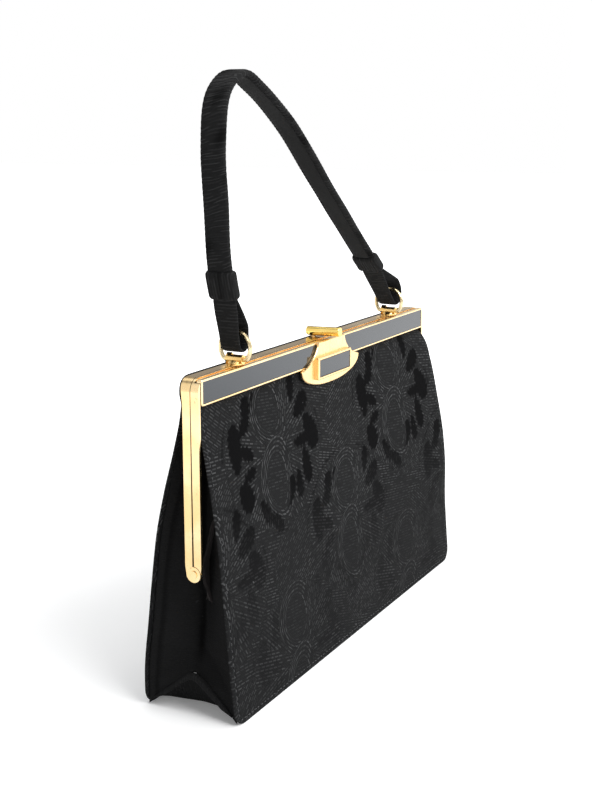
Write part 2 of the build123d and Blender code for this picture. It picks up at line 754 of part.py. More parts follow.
# Bottom: one sheet folded up into an arch from end to end
with BuildPart() as bottom_panel:
    with BuildSketch(x_plane(0)):
        add(arch_area(panel_thickness))
        add(arch_area(0), mode=Mode.SUBTRACT)
        with Locations((arch_centre_y, arch_foot_lift)):
            Rectangle(4 * arch_half_width, arch_half_width, align=(Align.CENTER, Align.MAX), mode=Mode.SUBTRACT)
    extrude(amount=panel_reach, both=True)
    with BuildSketch(y_plane(0)):
        add(rear_outline.sketch_local)
    extrude(amount=2 * panel_reach, both=True, mode=Mode.INTERSECT)
write(bottom_panel, "bottom_panel")


def gusset_outline(station, side):
    """Section of a side gusset at one height: a sheet folded inward between the two panels."""
    height, rear_y, half, fold, crease, *_ = station
    edge_x = half - seam_flange
    near = front_y(station, side * edge_x) + panel_thickness + cloth_clearance
    far = rear_y - panel_thickness - cloth_clearance
    Polyline(
        (side * edge_x, near),
        (side * edge_x, near + cloth_thickness),
        (side * (edge_x - fold), crease),
        (side * edge_x, far - cloth_thickness),
        (side * edge_x, far),
        (side * (edge_x - fold - fold_thickness), crease),
        close=True,
    )


for name, side in sides.items():
    with BuildPart() as gusset:
        for station in stations:
            with BuildSketch(Plane.XY.offset(station[0])):
                with BuildLine():
                    gusset_outline(station, side)
                make_face()
        loft(ruled=True)
        with BuildSketch(x_plane(0)):
            add(arch_area(panel_thickness + cloth_clearance))
        extrude(amount=2 * panel_reach, both=True, mode=Mode.SUBTRACT)
    write(gusset, f"gusset_{name}")


lining_half_width = min(station[2] for station in stations) - seam_flange - lining_end_margin
lining_fold_x = lining_half_width - max(station[3] for station in stations) - fold_thickness


def pouch(inset):
    """The lining's outer form moved inward: flat-sided front and back, folded in at both sides."""
    behind = panel_thickness + lining_front_clearance + inset
    before = panel_thickness + cloth_clearance + inset
    front = [(front_y(station, -panel_reach) + behind, station[0]) for station in stations]
    back = [(station[1] - before, station[0]) for station in reversed(stations)]
    mouth_y = max(-front[0][0], back[-1][0])
    fold_slope = math.atan2(mouth_y, lining_half_width - lining_fold_x)
    fold_x = lining_fold_x - inset / math.sin(fold_slope)
    fold_reach = 2 * mouth_y / math.tan(fold_slope)
    with BuildPart() as form:
        with BuildSketch(x_plane(0)):
            with BuildLine():
                Polyline(*front, *back, close=True)
            make_face()
            add(arch_area(panel_thickness + cloth_clearance + inset), mode=Mode.SUBTRACT)
            with Locations((0, cloth_clearance + inset)):
                Rectangle(4 * mouth_y, mouth_y, align=(Align.CENTER, Align.MAX), mode=Mode.SUBTRACT)
        extrude(amount=lining_half_width - inset, both=True)
        with BuildSketch():
            for side in sides.values():
                with BuildLine():
                    Polyline(
                        (side * (fold_x + fold_reach), -2 * mouth_y),
                        (side * fold_x, stations[-1][4]),
                        (side * (fold_x + fold_reach), 2 * mouth_y),
                        close=True,
                    )
                make_face()
        extrude(amount=frame_top, mode=Mode.SUBTRACT)
    return form.part


# Lining: a sewn pouch that follows the panels, gussets and arch, open at the frame's mouth
with BuildPart() as lining:
    add(pouch(0))
    add(pouch(lining_thickness), mode=Mode.SUBTRACT)
write(lining, "lining")

# Handle: a padded band that ends in an open loop round each ring
with BuildLine() as route:
    FilletPolyline(*strap_route, radius=route_bends)
strap_path = route.wire()

loops = []
hollows = []
for bends, tip, ring_x in ((left_loop, strap_route[0], -post_x), (right_loop, strap_route[-1], post_x)):
    with BuildSketch(y_plane(0)) as loop:
        for (across, up), radius in bends:
            with Locations((ring_x + across, ring_top_z + up)):
                Circle(radius + loop_wall)
        with Locations(tip):
            Circle(strap_thickness / 2)
        make_hull()
    loops.append(loop.sketch_local)
    with BuildSketch(y_plane(0)) as hollow:
        for (across, up), radius in bends:
            with Locations((ring_x + across, ring_top_z + up)):
                Circle(radius)
        with Locations(tip):
            Circle(loop_point_radius)
        make_hull()
    hollows.append(hollow.sketch_local)

with BuildPart() as handle_strap:
    with BuildSketch(y_plane(0)):
        trace(route.line, strap_thickness)
        for loop in loops:
            add(loop)
        for hollow in hollows:
            add(hollow, mode=Mode.SUBTRACT)
    extrude(amount=strap_width / 2, both=True)
    with BuildSketch(x_plane(0)):
        with BuildLine():
            Polyline(
                (loop_band_width / 2, frame_top),
                (loop_band_width / 2, loop_band_top),
                (strap_width / 2, loop_band_top + 10),
                (strap_width / 2, 2 * frame_top),
                (0, 2 * frame_top),
            )
            Line((0, frame_top), (loop_band_width / 2, frame_top))
            mirror(about=Plane.YZ)
        make_face()
    extrude(amount=panel_reach, both=True, mode=Mode.INTERSECT)
write(handle_strap, "handle_strap")

# Plain facing strip on the strap's underside, from keeper to keeper
facing_start = (keeper_inset + keeper_length / 2 + keeper_clearance) / strap_path.length
facing_offset = strap_thickness / 2 + facing_gap + facing_thickness / 2
with BuildLine() as facing_line:
    offset(strap_path, amount=facing_offset, side=Side.RIGHT, closed=False)
with BuildPart() as handle_facing:
    with BuildSketch(y_plane(0)):
        trace(facing_line.wire().trim(facing_start, 1 - facing_start), facing_thickness)
    extrude(amount=facing_width / 2, both=True)
write(handle_facing, "handle_facing")

# Keepers: gathered bands round the strap, just above its loops
for name, share in (("left", keeper_inset / strap_path.length), ("right", 1 - keeper_inset / strap_path.length)):
    place = strap_path @ share
    along = strap_path % share
    keeper_plane = Plane(origin=(place.X, 0, place.Y), x_dir=(0, 1, 0), z_dir=(along.X, 0, along.Y))
    with BuildPart() as keeper:
        with BuildSketch(keeper_plane):
            RectangleRounded(keeper_width, keeper_thickness, keeper_thickness / 3)
            Rectangle(
                strap_width + 2 * keeper_clearance,
                strap_thickness + 2 * keeper_clearance,
                mode=Mode.SUBTRACT,
            )
        extrude(amount=keeper_length / 2, both=True)
    write(keeper, f"keeper_{name}")
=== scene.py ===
# Look of the framed brocade handbag: cloth, stitching, gilt metal, floor, light and camera.
# Lengths in this script are in millimetres until a piece is made, which turns them into metres.
import math

import bpy
import numpy as np
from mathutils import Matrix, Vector


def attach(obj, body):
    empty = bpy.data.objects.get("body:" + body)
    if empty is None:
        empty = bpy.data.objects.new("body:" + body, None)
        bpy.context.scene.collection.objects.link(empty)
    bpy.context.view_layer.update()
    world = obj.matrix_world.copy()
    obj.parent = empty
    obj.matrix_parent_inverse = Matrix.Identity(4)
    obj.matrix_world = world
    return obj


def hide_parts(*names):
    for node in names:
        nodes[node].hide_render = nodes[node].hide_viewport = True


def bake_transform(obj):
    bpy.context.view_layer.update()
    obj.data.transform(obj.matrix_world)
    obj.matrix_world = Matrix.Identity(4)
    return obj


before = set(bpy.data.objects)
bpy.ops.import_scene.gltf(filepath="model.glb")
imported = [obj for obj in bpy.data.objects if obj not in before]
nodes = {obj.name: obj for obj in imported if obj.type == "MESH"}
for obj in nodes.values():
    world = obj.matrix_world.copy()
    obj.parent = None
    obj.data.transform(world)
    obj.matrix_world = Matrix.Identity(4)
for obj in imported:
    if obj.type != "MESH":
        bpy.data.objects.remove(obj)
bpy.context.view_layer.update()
rng = np.random.default_rng(7)

# Camera
LENS = 55.87
CAMERA_PLACE = (-0.57555, -0.29558, 0.26998)
CAMERA_AHEAD = (0.8590, 0.4633, -0.2178)
camera_data = bpy.data.cameras.new("camera")
camera_data.lens = LENS
camera_data.sensor_width = 36.0
camera_data.clip_start = 0.01
camera = bpy.data.objects.new("camera", camera_data)
bpy.context.collection.objects.link(camera)
camera.location = CAMERA_PLACE
camera.rotation_euler = Vector(CAMERA_AHEAD).to_track_quat("-Z", "Y").to_euler()
bpy.context.scene.camera = camera
bpy.context.scene.view_settings.view_transform = "Standard"

# Sizes, as in the solids
FASCIA_BOTTOM = 147.4
PANEL_TOP_Y = -2.75
FOOT_Y = -25.4
PANEL_TOP = 152.0
REAR_TOP = 159.8
SEAM = 1.8
FOOT_RADIUS = 8.0
FRONT_TOP_RADIUS = 9.0
REAR_TOP_RADIUS = 6.0
STITCH_INSET = 2.45
STITCH_STEP = 3.05
THREAD_SINK = 0.22
# The rear panel steps back over the rear bar
REAR_LIFT = 6.75 + 0.1 - 5.9
REAR_LIFT_HEIGHT = 4.6
# Places across the front where its bow is given, and how softly it bends between them
BOW_LEFT_X = -131.0
BOW_MIDDLE_X = 35.0
BOW_RIGHT_X = 131.0
BOW_SOFTNESS = 9.0
# Height, rear face, half width, depth of side fold, its crease, and the front's bow: left, middle, right
stations = np.array([
    (0.0, 26.2, 130.5, 0.6, 0.5, 0.0, 0.0, 0.0),
    (20.0, 26.5, 129.6, 1.2, 1.0, 0.2, 0.4, 1.7),
    (41.0, 24.9, 128.2, 7.5, 2.4, 0.5, 0.9, 4.0),
    (66.0, 23.1, 126.2, 9.3, 3.2, 0.9, 1.6, 8.2),
    (86.0, 20.8, 125.2, 10.8, 3.4, 1.2, 2.2, 9.6),
    (105.0, 16.4, 125.2, 12.2, 3.3, 1.3, 2.4, 8.7),
    (128.0, 10.0, 125.2, 12.7, 2.6, 0.9, 1.3, 6.9),
    (140.0, 7.1, 125.2, 12.9, 2.0, 0.4, 0.5, 4.6),
    (147.4, 5.9, 125.2, 13.0, 1.8, 0.0, 0.0, 0.0),
])


def smooth_table(at, values):
    """Smooth curve through the given values."""
    slope = np.gradient(values, at)

    def read(z):
        z = np.clip(z, at[0], at[-1])
        i = np.clip(np.searchsorted(at, z, side="right") - 1, 0, len(at) - 2)
        step = at[i + 1] - at[i]
        t = (z - at[i]) / step
        a = values[i] * (1 + 2 * t) * (1 - t) ** 2 + slope[i] * step * t * (1 - t) ** 2
        return a + values[i + 1] * t * t * (3 - 2 * t) + slope[i + 1] * step * t * t * (t - 1)

    return read


rear_at, half_at, fold_at, crease_at, left_at, middle_at, right_at = [
    smooth_table(stations[:, 0], stations[:, column]) for column in range(1, 8)
]


def front_at(x, z):
    """Outer face of the front panel."""
    lean = FOOT_Y + (PANEL_TOP_Y - FOOT_Y) * np.minimum(z, FASCIA_BOTTOM) / FASCIA_BOTTOM
    left, middle, right = left_at(z), middle_at(z), right_at(z)
    first = (middle - left) / (BOW_MIDDLE_X - BOW_LEFT_X)
    second = (right - middle) / (BOW_RIGHT_X - BOW_MIDDLE_X)
    bend = BOW_SOFTNESS * np.logaddexp(0, (x - BOW_MIDDLE_X) / BOW_SOFTNESS)
    full = left + first * (x - BOW_LEFT_X) + (second - first) * bend
    return lean - np.maximum(full, 0) * (z < PANEL_TOP)


def rear_face_at(z):
    """Outer face of the rear panel."""
    return rear_at(z) + REAR_LIFT * np.clip((z - FASCIA_BOTTOM) / REAR_LIFT_HEIGHT, 0, 1)


# Making pieces
def piece(name, points, faces, body, material, fields):
    """A mesh object from points in millimetres, with named numbers kept at its points."""
    mesh = bpy.data.meshes.new(name)
    mesh.from_pydata((np.asarray(points, float) * 0.001).tolist(), [], [tuple(map(int, f)) for f in faces])
    mesh.validate()
    for key, values in fields.items():
        layer = mesh.attributes.new(key, "FLOAT", "POINT")
        layer.data.foreach_set("value", np.asarray(values, np.float32).ravel())
    mesh.materials.append(material)
    mesh.polygons.foreach_set("use_smooth", [True] * len(mesh.polygons))
    mesh.update()
    made = bpy.data.objects.new(name, mesh)
    bpy.context.collection.objects.link(made)
    if body:
        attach(made, body)
    return made


def grid_faces(rows, columns, start=0, closed=False, flip=False):
    """Quads over a grid of points; closed joins its last column to its first."""
    r, c = np.meshgrid(np.arange(rows - 1), np.arange(columns if closed else columns - 1), indexing="ij")
    n = (c + 1) % columns
    quads = np.stack([r * columns + c, r * columns + n, (r + 1) * columns + n, (r + 1) * columns + c], -1)
    quads = quads.reshape(-1, 4) + start
    return quads[:, ::-1] if flip else quads


def rim_of(rows, columns):
    """Grid numbers around the border of a grid, in order."""
    top = [(0, c) for c in range(columns)]
    right = [(r, columns - 1) for r in range(1, rows)]
    bottom = [(rows - 1, c) for c in range(columns - 2, -1, -1)]
    left = [(r, 0) for r in range(rows - 2, 0, -1)]
    return np.array([r * columns + c for r, c in top + right + bottom + left])


def joined(first, second, flip):
    """Quads between two rings of point numbers."""
    quads = np.stack([first, second, np.roll(second, -1), np.roll(first, -1)], -1)
    return quads[:, ::-1] if flip else quads


def sheet_shell(outer, inner, bulge, steps=4, flip=False):
    """Closed cloth sheet: an outer grid, an inner grid and a rounded rim between them."""
    rows, columns = outer.shape[:2]
    ring = rim_of(rows, columns)
    a = outer.reshape(-1, 3)
    b = inner.reshape(-1, 3)
    points = [a, b]
    faces = [grid_faces(rows, columns, 0, flip=flip), grid_faces(rows, columns, len(a), flip=not flip)]
    edge = a[ring]
    along = np.roll(edge, -1, 0) - np.roll(edge, 1, 0)
    through = b[ring] - a[ring]
    out = np.cross(along, through)
    out /= np.linalg.norm(out, axis=1)[:, None] + 1e-9
    middle = a.mean(0)
    out *= np.sign(((edge - middle) * out).sum(1))[:, None]
    start = len(a) + len(b)
    last = ring
    for step in range(1, steps):
        share = step / steps
        lift = math.sin(math.pi * share) * bulge
        points.append(a[ring] * (1 - share) + b[ring] * share + out * lift)
        now = start + np.arange(len(ring))
        start += len(ring)
        faces.append(joined(last, now, flip))
        last = now
    faces.append(joined(last, ring + len(a), flip))
    origin = np.concatenate([np.arange(len(a)), np.arange(len(a))] + [ring] * (steps - 1))
    return np.concatenate(points), np.concatenate(faces), origin


def tube_points(path, across, up, profile):
    """Sweep a closed profile along a path; across and up are unit vectors at each path point."""
    path, across, up = (np.asarray(v, float) for v in (path, across, up))
    return path[:, None, :] + across[:, None, :] * profile[..., 0:1] + up[:, None, :] * profile[..., 1:2]


def boxy_round(around, across_power, up_power):
    """Points round a rounded box, one unit half width and half thickness."""
    side = np.sign(np.cos(around)) * np.abs(np.cos(around)) ** across_power
    up = np.sign(np.sin(around)) * np.abs(np.sin(around)) ** up_power
    return np.stack([side, up], -1)


def tube_faces(rings, count, start=0):
    """Faces of a swept closed profile, capped at both ends."""
    quads = list(grid_faces(rings, count, start, closed=True))
    quads.append(tuple(range(start, start + count))[::-1])
    last = start + (rings - 1) * count
    quads.append(tuple(range(last, last + count)))
    return quads


def swept(at, away, section):
    """Sweep a section along a route that lies in the plane y = 0."""
    centre = np.stack([at[:, 0], np.zeros(len(at)), at[:, 1]], -1)
    up = np.stack([away[:, 0], np.zeros(len(at)), away[:, 1]], -1)
    return tube_points(centre, np.tile([0, 1.0, 0], (len(at), 1)), up, section).reshape(-1, 3)


def distances(line):
    """Distance along a line, from its start to each of its points."""
    return np.r_[0, np.cumsum(np.linalg.norm(np.diff(line, axis=0), axis=1))]


def points_along(line, length, at):
    """Points of a line at the given distances along it."""
    return np.stack([np.interp(at, length, line[:, k]) for k in (0, 1)], -1)


def cloth_fields(origin, row, run, leaf_and_shade, strong):
    """The four numbers that the cloth's material reads, at a sheet's points."""
    named = (("row", row), ("run", run), ("leaf_and_shade", leaf_and_shade), ("strong", strong))
    return {key: value.ravel()[origin] for key, value in named}


# Materials
def put(tree, socket, value):
    """Give a socket a number, or a link from another node."""
    if hasattr(value, "links"):
        tree.links.new(value, socket)
    else:
        socket.default_value = value


def maths_node(tree, operation, *values, clamp=False):
    """A Math node with its inputs given."""
    node = tree.nodes.new("ShaderNodeMath")
    node.operation = operation
    node.use_clamp = clamp
    for socket, value in zip(node.inputs, values):
        put(tree, socket, value)
    return node.outputs[0]


def range_node(tree, *values):
    """A smooth Map Range node: value, lowest, highest, new lowest, new highest."""
    node = tree.nodes.new("ShaderNodeMapRange")
    node.interpolation_type = "SMOOTHSTEP"
    for socket, value in zip(node.inputs, values):
        put(tree, socket, value)
    return node.outputs[0]


class Net:
    """Short way to write a node material."""

    def __init__(self, name, **settings):
        self.material = bpy.data.materials.new(name)
        self.material.use_nodes = True
        self.tree = self.material.node_tree
        self.tree.nodes.clear()
        self.out = self.tree.nodes.new("ShaderNodeOutputMaterial")
        self.shader = self.tree.nodes.new("ShaderNodeBsdfPrincipled")
        self.tree.links.new(self.shader.outputs[0], self.out.inputs["Surface"])
        for key, value in settings.items():
            self.shader.inputs[key.replace("_", " ")].default_value = value
        self.place = self.tree.nodes.new("ShaderNodeTexCoord").outputs["Object"]

    def put(self, socket, value):
        put(self.tree, socket, value)

    def maths(self, operation, *values, clamp=False):
        return maths_node(self.tree, operation, *values, clamp=clamp)

    def field(self, name):
        node = self.tree.nodes.new("ShaderNodeAttribute")
        node.attribute_name = name
        return node.outputs["Fac"]

    def scaled(self, x, y, z):
        node = self.tree.nodes.new("ShaderNodeVectorMath")
        node.operation = "MULTIPLY"
        self.put(node.inputs[0], self.place)
        node.inputs[1].default_value = (x, y, z)
        return node.outputs[0]

    def join(self, x, y, z):
        node = self.tree.nodes.new("ShaderNodeCombineXYZ")
        for socket, value in zip(node.inputs, (x, y, z)):
            self.put(socket, value)
        return node.outputs[0]

    def noise(self, scale, detail=3.0, rough=0.55, source=None):
        node = self.tree.nodes.new("ShaderNodeTexNoise")
        self.put(node.inputs["Vector"], source or self.place)
        node.inputs["Scale"].default_value = scale
        node.inputs["Detail"].default_value = detail
        node.inputs["Roughness"].default_value = rough
        return node.outputs["Fac"]

    def spread(self, value, low, high, new_low=0.0, new_high=1.0):
        return range_node(self.tree, value, low, high, new_low, new_high)

    def mix(self, share, first, second):
        node = self.tree.nodes.new("ShaderNodeMix")
        node.data_type = "RGBA"
        self.put(node.inputs["Factor"], share)
        for socket, value in zip((node.inputs[6], node.inputs[7]), (first, second)):
            self.put(socket, value if hasattr(value, "links") else (*value, 1.0))
        return node.outputs[2]

    def bump(self, height, distance, strength):
        node = self.tree.nodes.new("ShaderNodeBump")
        self.put(node.inputs["Height"], height)
        node.inputs["Distance"].default_value = distance
        node.inputs["Strength"].default_value = strength
        return node.outputs[0]

    def finish(self, colour, roughness=None, normal=None):
        for key, value in (("Base Color", colour), ("Roughness", roughness), ("Normal", normal)):
            if value is not None:
                self.put(self.shader.inputs[key], value)
        return self.material


def dress(name, material):
    """Give one solid piece its material."""
    if not nodes[name].material_slots:
        nodes[name].data.materials.append(material)
    for holder in nodes[name].material_slots:
        holder.material = material


def gilt(name, light, deep, rough, streak=(1.0, 1.0, 1.0), worn=0.35):
    """Gilt metal: slightly uneven tone, fine rubbed lines and dull patches."""
    net = Net(name, Metallic=1.0, Specular_IOR_Level=0.5)
    cloud = net.noise(55.0, 4.0, 0.6)
    fine = net.noise(900.0, 2.0, 0.5, net.scaled(*streak))
    patch = net.spread(cloud, 0.38, 0.68)
    tone = net.maths("MULTIPLY_ADD", fine, worn, net.maths("MULTIPLY", patch, 1.0 - worn))
    colour = net.mix(tone, deep, light)
    spots = net.spread(net.noise(420.0, 2.0, 0.7), 0.66, 0.74)
    colour = net.mix(net.maths("MULTIPLY", spots, 0.35), colour, tuple(c * 0.45 for c in deep))
    rubbed = net.spread(fine, 0.3, 0.75, rough * 0.75, rough * 1.5)
    roughness = net.maths("ADD", rubbed, net.maths("MULTIPLY", patch, 0.06), clamp=True)
    lift = net.maths("ADD", net.maths("MULTIPLY", fine, 0.5), net.maths("MULTIPLY", cloud, 1.4))
    return net.finish(colour, roughness, net.bump(lift, 0.00008, 0.5))


gilt_frame = gilt("gilt_frame", (0.93, 0.73, 0.43), (0.82, 0.57, 0.26), 0.16, (1.0, 1.0, 0.06))
gilt_fascia = gilt("gilt_fascia", (0.95, 0.73, 0.43), (0.84, 0.58, 0.27), 0.15, (0.06, 1.0, 1.0))
gilt_plate = gilt("gilt_plate", (0.90, 0.66, 0.36), (0.80, 0.53, 0.24), 0.24, (1.0, 1.0, 0.10), 0.5)
gilt_lever = gilt("gilt_lever", (0.93, 0.72, 0.26), (0.80, 0.56, 0.14), 0.12, (1.0, 0.05, 1.0))
gilt_ring = gilt("gilt_ring", (0.84, 0.72, 0.48), (0.66, 0.52, 0.29), 0.2)
gilt_post = gilt("gilt_post", (0.90, 0.64, 0.27), (0.74, 0.46, 0.15), 0.18)
for material, names in (
    (gilt_frame, ("rear_frame", "front_frame", "hinge_rivets")),
    (gilt_fascia, ("fascia",)),
    (gilt_plate, ("escutcheon", "clasp_block", "latch_lug")),
    (gilt_lever, ("latch_lever", "latch_pin")),
    (gilt_ring, ("ring_left", "ring_right")),
    (gilt_post, ("handle_post_left", "handle_post_right", "post_nuts")),
):
    for name in names:
        dress(name, material)


def black_gloss(name):
    """Polished black inlay, with faint haze and hairlines."""
    net = Net(name, Metallic=0.0, IOR=1.50, Specular_Tint=(0.84, 0.92, 1.0, 1.0))
    haze = net.noise(28.0, 4.0, 0.6)
    hair = net.noise(700.0, 2.0, 0.6, net.scaled(0.05, 1.0, 1.0))
    colour = net.mix(haze, (0.006, 0.0065, 0.008), (0.013, 0.014, 0.017))
    roughness = net.spread(hair, 0.35, 0.85, 0.035, 0.11)
    return net.finish(colour, roughness, net.bump(haze, 0.00005, 0.25))


gloss = black_gloss("black_gloss")
for name in ("inlay_left", "inlay_right", "clasp_inlay"):
    dress(name, gloss)


def cloth(name, ground, dark, light, dash_pitch):
    """Woven black cloth: rows of raised dashes on a ground, with darker satin leaves; on the folded sides
    the same darkening is painted shade.
    """
    net = Net(name, Sheen_Weight=0.006, Sheen_Roughness=0.4, Specular_IOR_Level=0.05)
    row = net.field("row")
    run = net.field("run")
    leaf_and_shade = net.field("leaf_and_shade")
    strong = net.field("strong")
    whole = net.maths("FLOOR", row)
    across = net.maths("ABSOLUTE", net.maths("SUBTRACT", net.maths("SUBTRACT", row, whole), 0.5))
    white = net.tree.nodes.new("ShaderNodeTexWhiteNoise")
    white.noise_dimensions = "1D"
    net.put(white.inputs["W"], whole)
    shift = net.maths("MULTIPLY_ADD", white.outputs["Value"], 0.7, net.maths("MULTIPLY", whole, 0.5))
    along = net.maths("ADD", net.maths("DIVIDE", run, dash_pitch), shift)
    step = net.maths("FLOOR", along)
    inside = net.maths("ABSOLUTE", net.maths("SUBTRACT", net.maths("SUBTRACT", along, step), 0.5))
    each = net.tree.nodes.new("ShaderNodeTexWhiteNoise")
    each.noise_dimensions = "2D"
    net.put(each.inputs["Vector"], net.join(whole, step, 0.0))
    dash = net.maths("MULTIPLY", net.spread(across, 0.30, 0.10), net.spread(inside, 0.44, 0.30))
    uneven = net.maths("MULTIPLY_ADD", each.outputs["Value"], 1.15, -0.08)
    dash = net.maths("MULTIPLY", dash, uneven, clamp=True)
    satin = net.maths("SUBTRACT", 1.0, leaf_and_shade)
    dash = net.maths("MULTIPLY", dash, net.maths("MULTIPLY", satin, strong))
    weave = net.tree.nodes.new("ShaderNodeTexWave")
    weave.wave_type = "BANDS"
    weave.bands_direction = "DIAGONAL"
    net.put(weave.inputs["Vector"], net.place)
    weave.inputs["Scale"].default_value = 420.0
    weave.inputs["Distortion"].default_value = 2.0
    weave.inputs["Detail"].default_value = 1.0
    fibre = net.noise(1500.0, 2.0, 0.6)
    cloud = net.noise(26.0, 3.0, 0.55)
    base = net.mix(cloud, tuple(c * 0.82 for c in ground), tuple(c * 1.2 for c in ground))
    base = net.mix(net.maths("MULTIPLY", fibre, 0.5), base, tuple(c * 1.6 for c in ground))
    # Darkened by the leaf share: satin leaves on the brocade, and painted shade along the crease and rear
    # seam of the folded sides.
    base = net.mix(leaf_and_shade, base, dark)
    base = net.mix(dash, base, light)
    lint = net.spread(net.noise(330.0, 1.0, 0.5), 0.77, 0.80)
    base = net.mix(net.maths("MULTIPLY", lint, 0.35), base, tuple(c * 1.8 for c in light))
    roughness = net.maths("ADD", 0.80, net.maths("MULTIPLY", leaf_and_shade, 0.18))
    height = net.maths("ADD", dash, net.maths("MULTIPLY", weave.outputs["Fac"], 0.14))
    height = net.maths("ADD", height, net.maths("MULTIPLY", fibre, 0.16))
    height = net.maths("SUBTRACT", height, net.maths("MULTIPLY", leaf_and_shade, 0.55))
    return net.finish(base, roughness, net.bump(height, 0.0004, 0.9))


brocade = cloth(
    "brocade", (0.0104, 0.0106, 0.0110), (0.0030, 0.0030, 0.0033), (0.092, 0.0935, 0.0955), dash_pitch=4.0
)
# The side cloth's darkest colour is painted shade in the sides' crease and by their rear seam.
side_cloth = cloth(
    "side_cloth", (0.0092, 0.0092, 0.0094), (0.0010, 0.0010, 0.0010), (0.020, 0.020, 0.021), dash_pitch=2.2
)
band_cloth = cloth(
    "band_cloth", (0.0135, 0.0135, 0.0137), (0.0050, 0.0050, 0.0050), (0.046, 0.0465, 0.047), dash_pitch=15.0
)


def plain_cloth(name, low, high, fineness):
    """Plain fine cloth with a soft uneven weave."""
    net = Net(name, Sheen_Weight=0.02, Sheen_Roughness=0.5, Specular_IOR_Level=0.08)
    cloud = net.noise(40.0, 3.0, 0.55)
    fibre = net.noise(fineness, 3.0, 0.65)
    colour = net.mix(net.maths("MULTIPLY_ADD", fibre, 0.6, net.maths("MULTIPLY", cloud, 0.4)), low, high)
    roughness = net.spread(fibre, 0.2, 0.8, 0.7, 0.92)
    return net.finish(colour, roughness, net.bump(fibre, 0.00025, 0.7))


facing_cloth = plain_cloth("facing_cloth", (0.004, 0.004, 0.004), (0.024, 0.024, 0.024), fineness=1300.0)
lining_silk = plain_cloth("lining_silk", (0.016, 0.014, 0.014), (0.035, 0.031, 0.031), fineness=900.0)
thread = plain_cloth("thread", (0.055, 0.056, 0.058), (0.140, 0.141, 0.146), fineness=2400.0)

# Brocade figure: sizes, middles of the palmettes, then a palmette's leaves
ROW_PITCH = 1.55
FAN_HALF_WIDTH = 44.0
FAN_HALF_HEIGHT = 37.0
FAN_SECTOR = math.pi / 5.5
EGG_CORE = 0.78
palmettes = [(-67, 114), (68, 114), (1, 62), (-134, 62), (136, 62), (-67, 10), (68, 10)]
# Each leaf: place across and up from the middle, length, width, angle in degrees
petals = [
    (-20, 24, 14, 8, 75), (-24, 17, 13, 7, 45), (-34, 8, 24, 11, 92), (-26, 5, 15, 7, -18),
    (-25, -6, 13, 6, 28), (-30, -15, 15, 12, -50), (-15, -26, 16, 7, -55), (-6, -33, 16, 7.5, -35),
    (-11, 24, 15, 5, 102), (25, 27, 15, 7, 78), (31, 17, 19, 9, 38), (37, 3, 20, 13, -62),
    (26, 0, 15, 6.5, 8), (29, -13, 19, 9, -78), (20, -20, 16, 7, -84), (10, -22, 17, 9, 66),
]


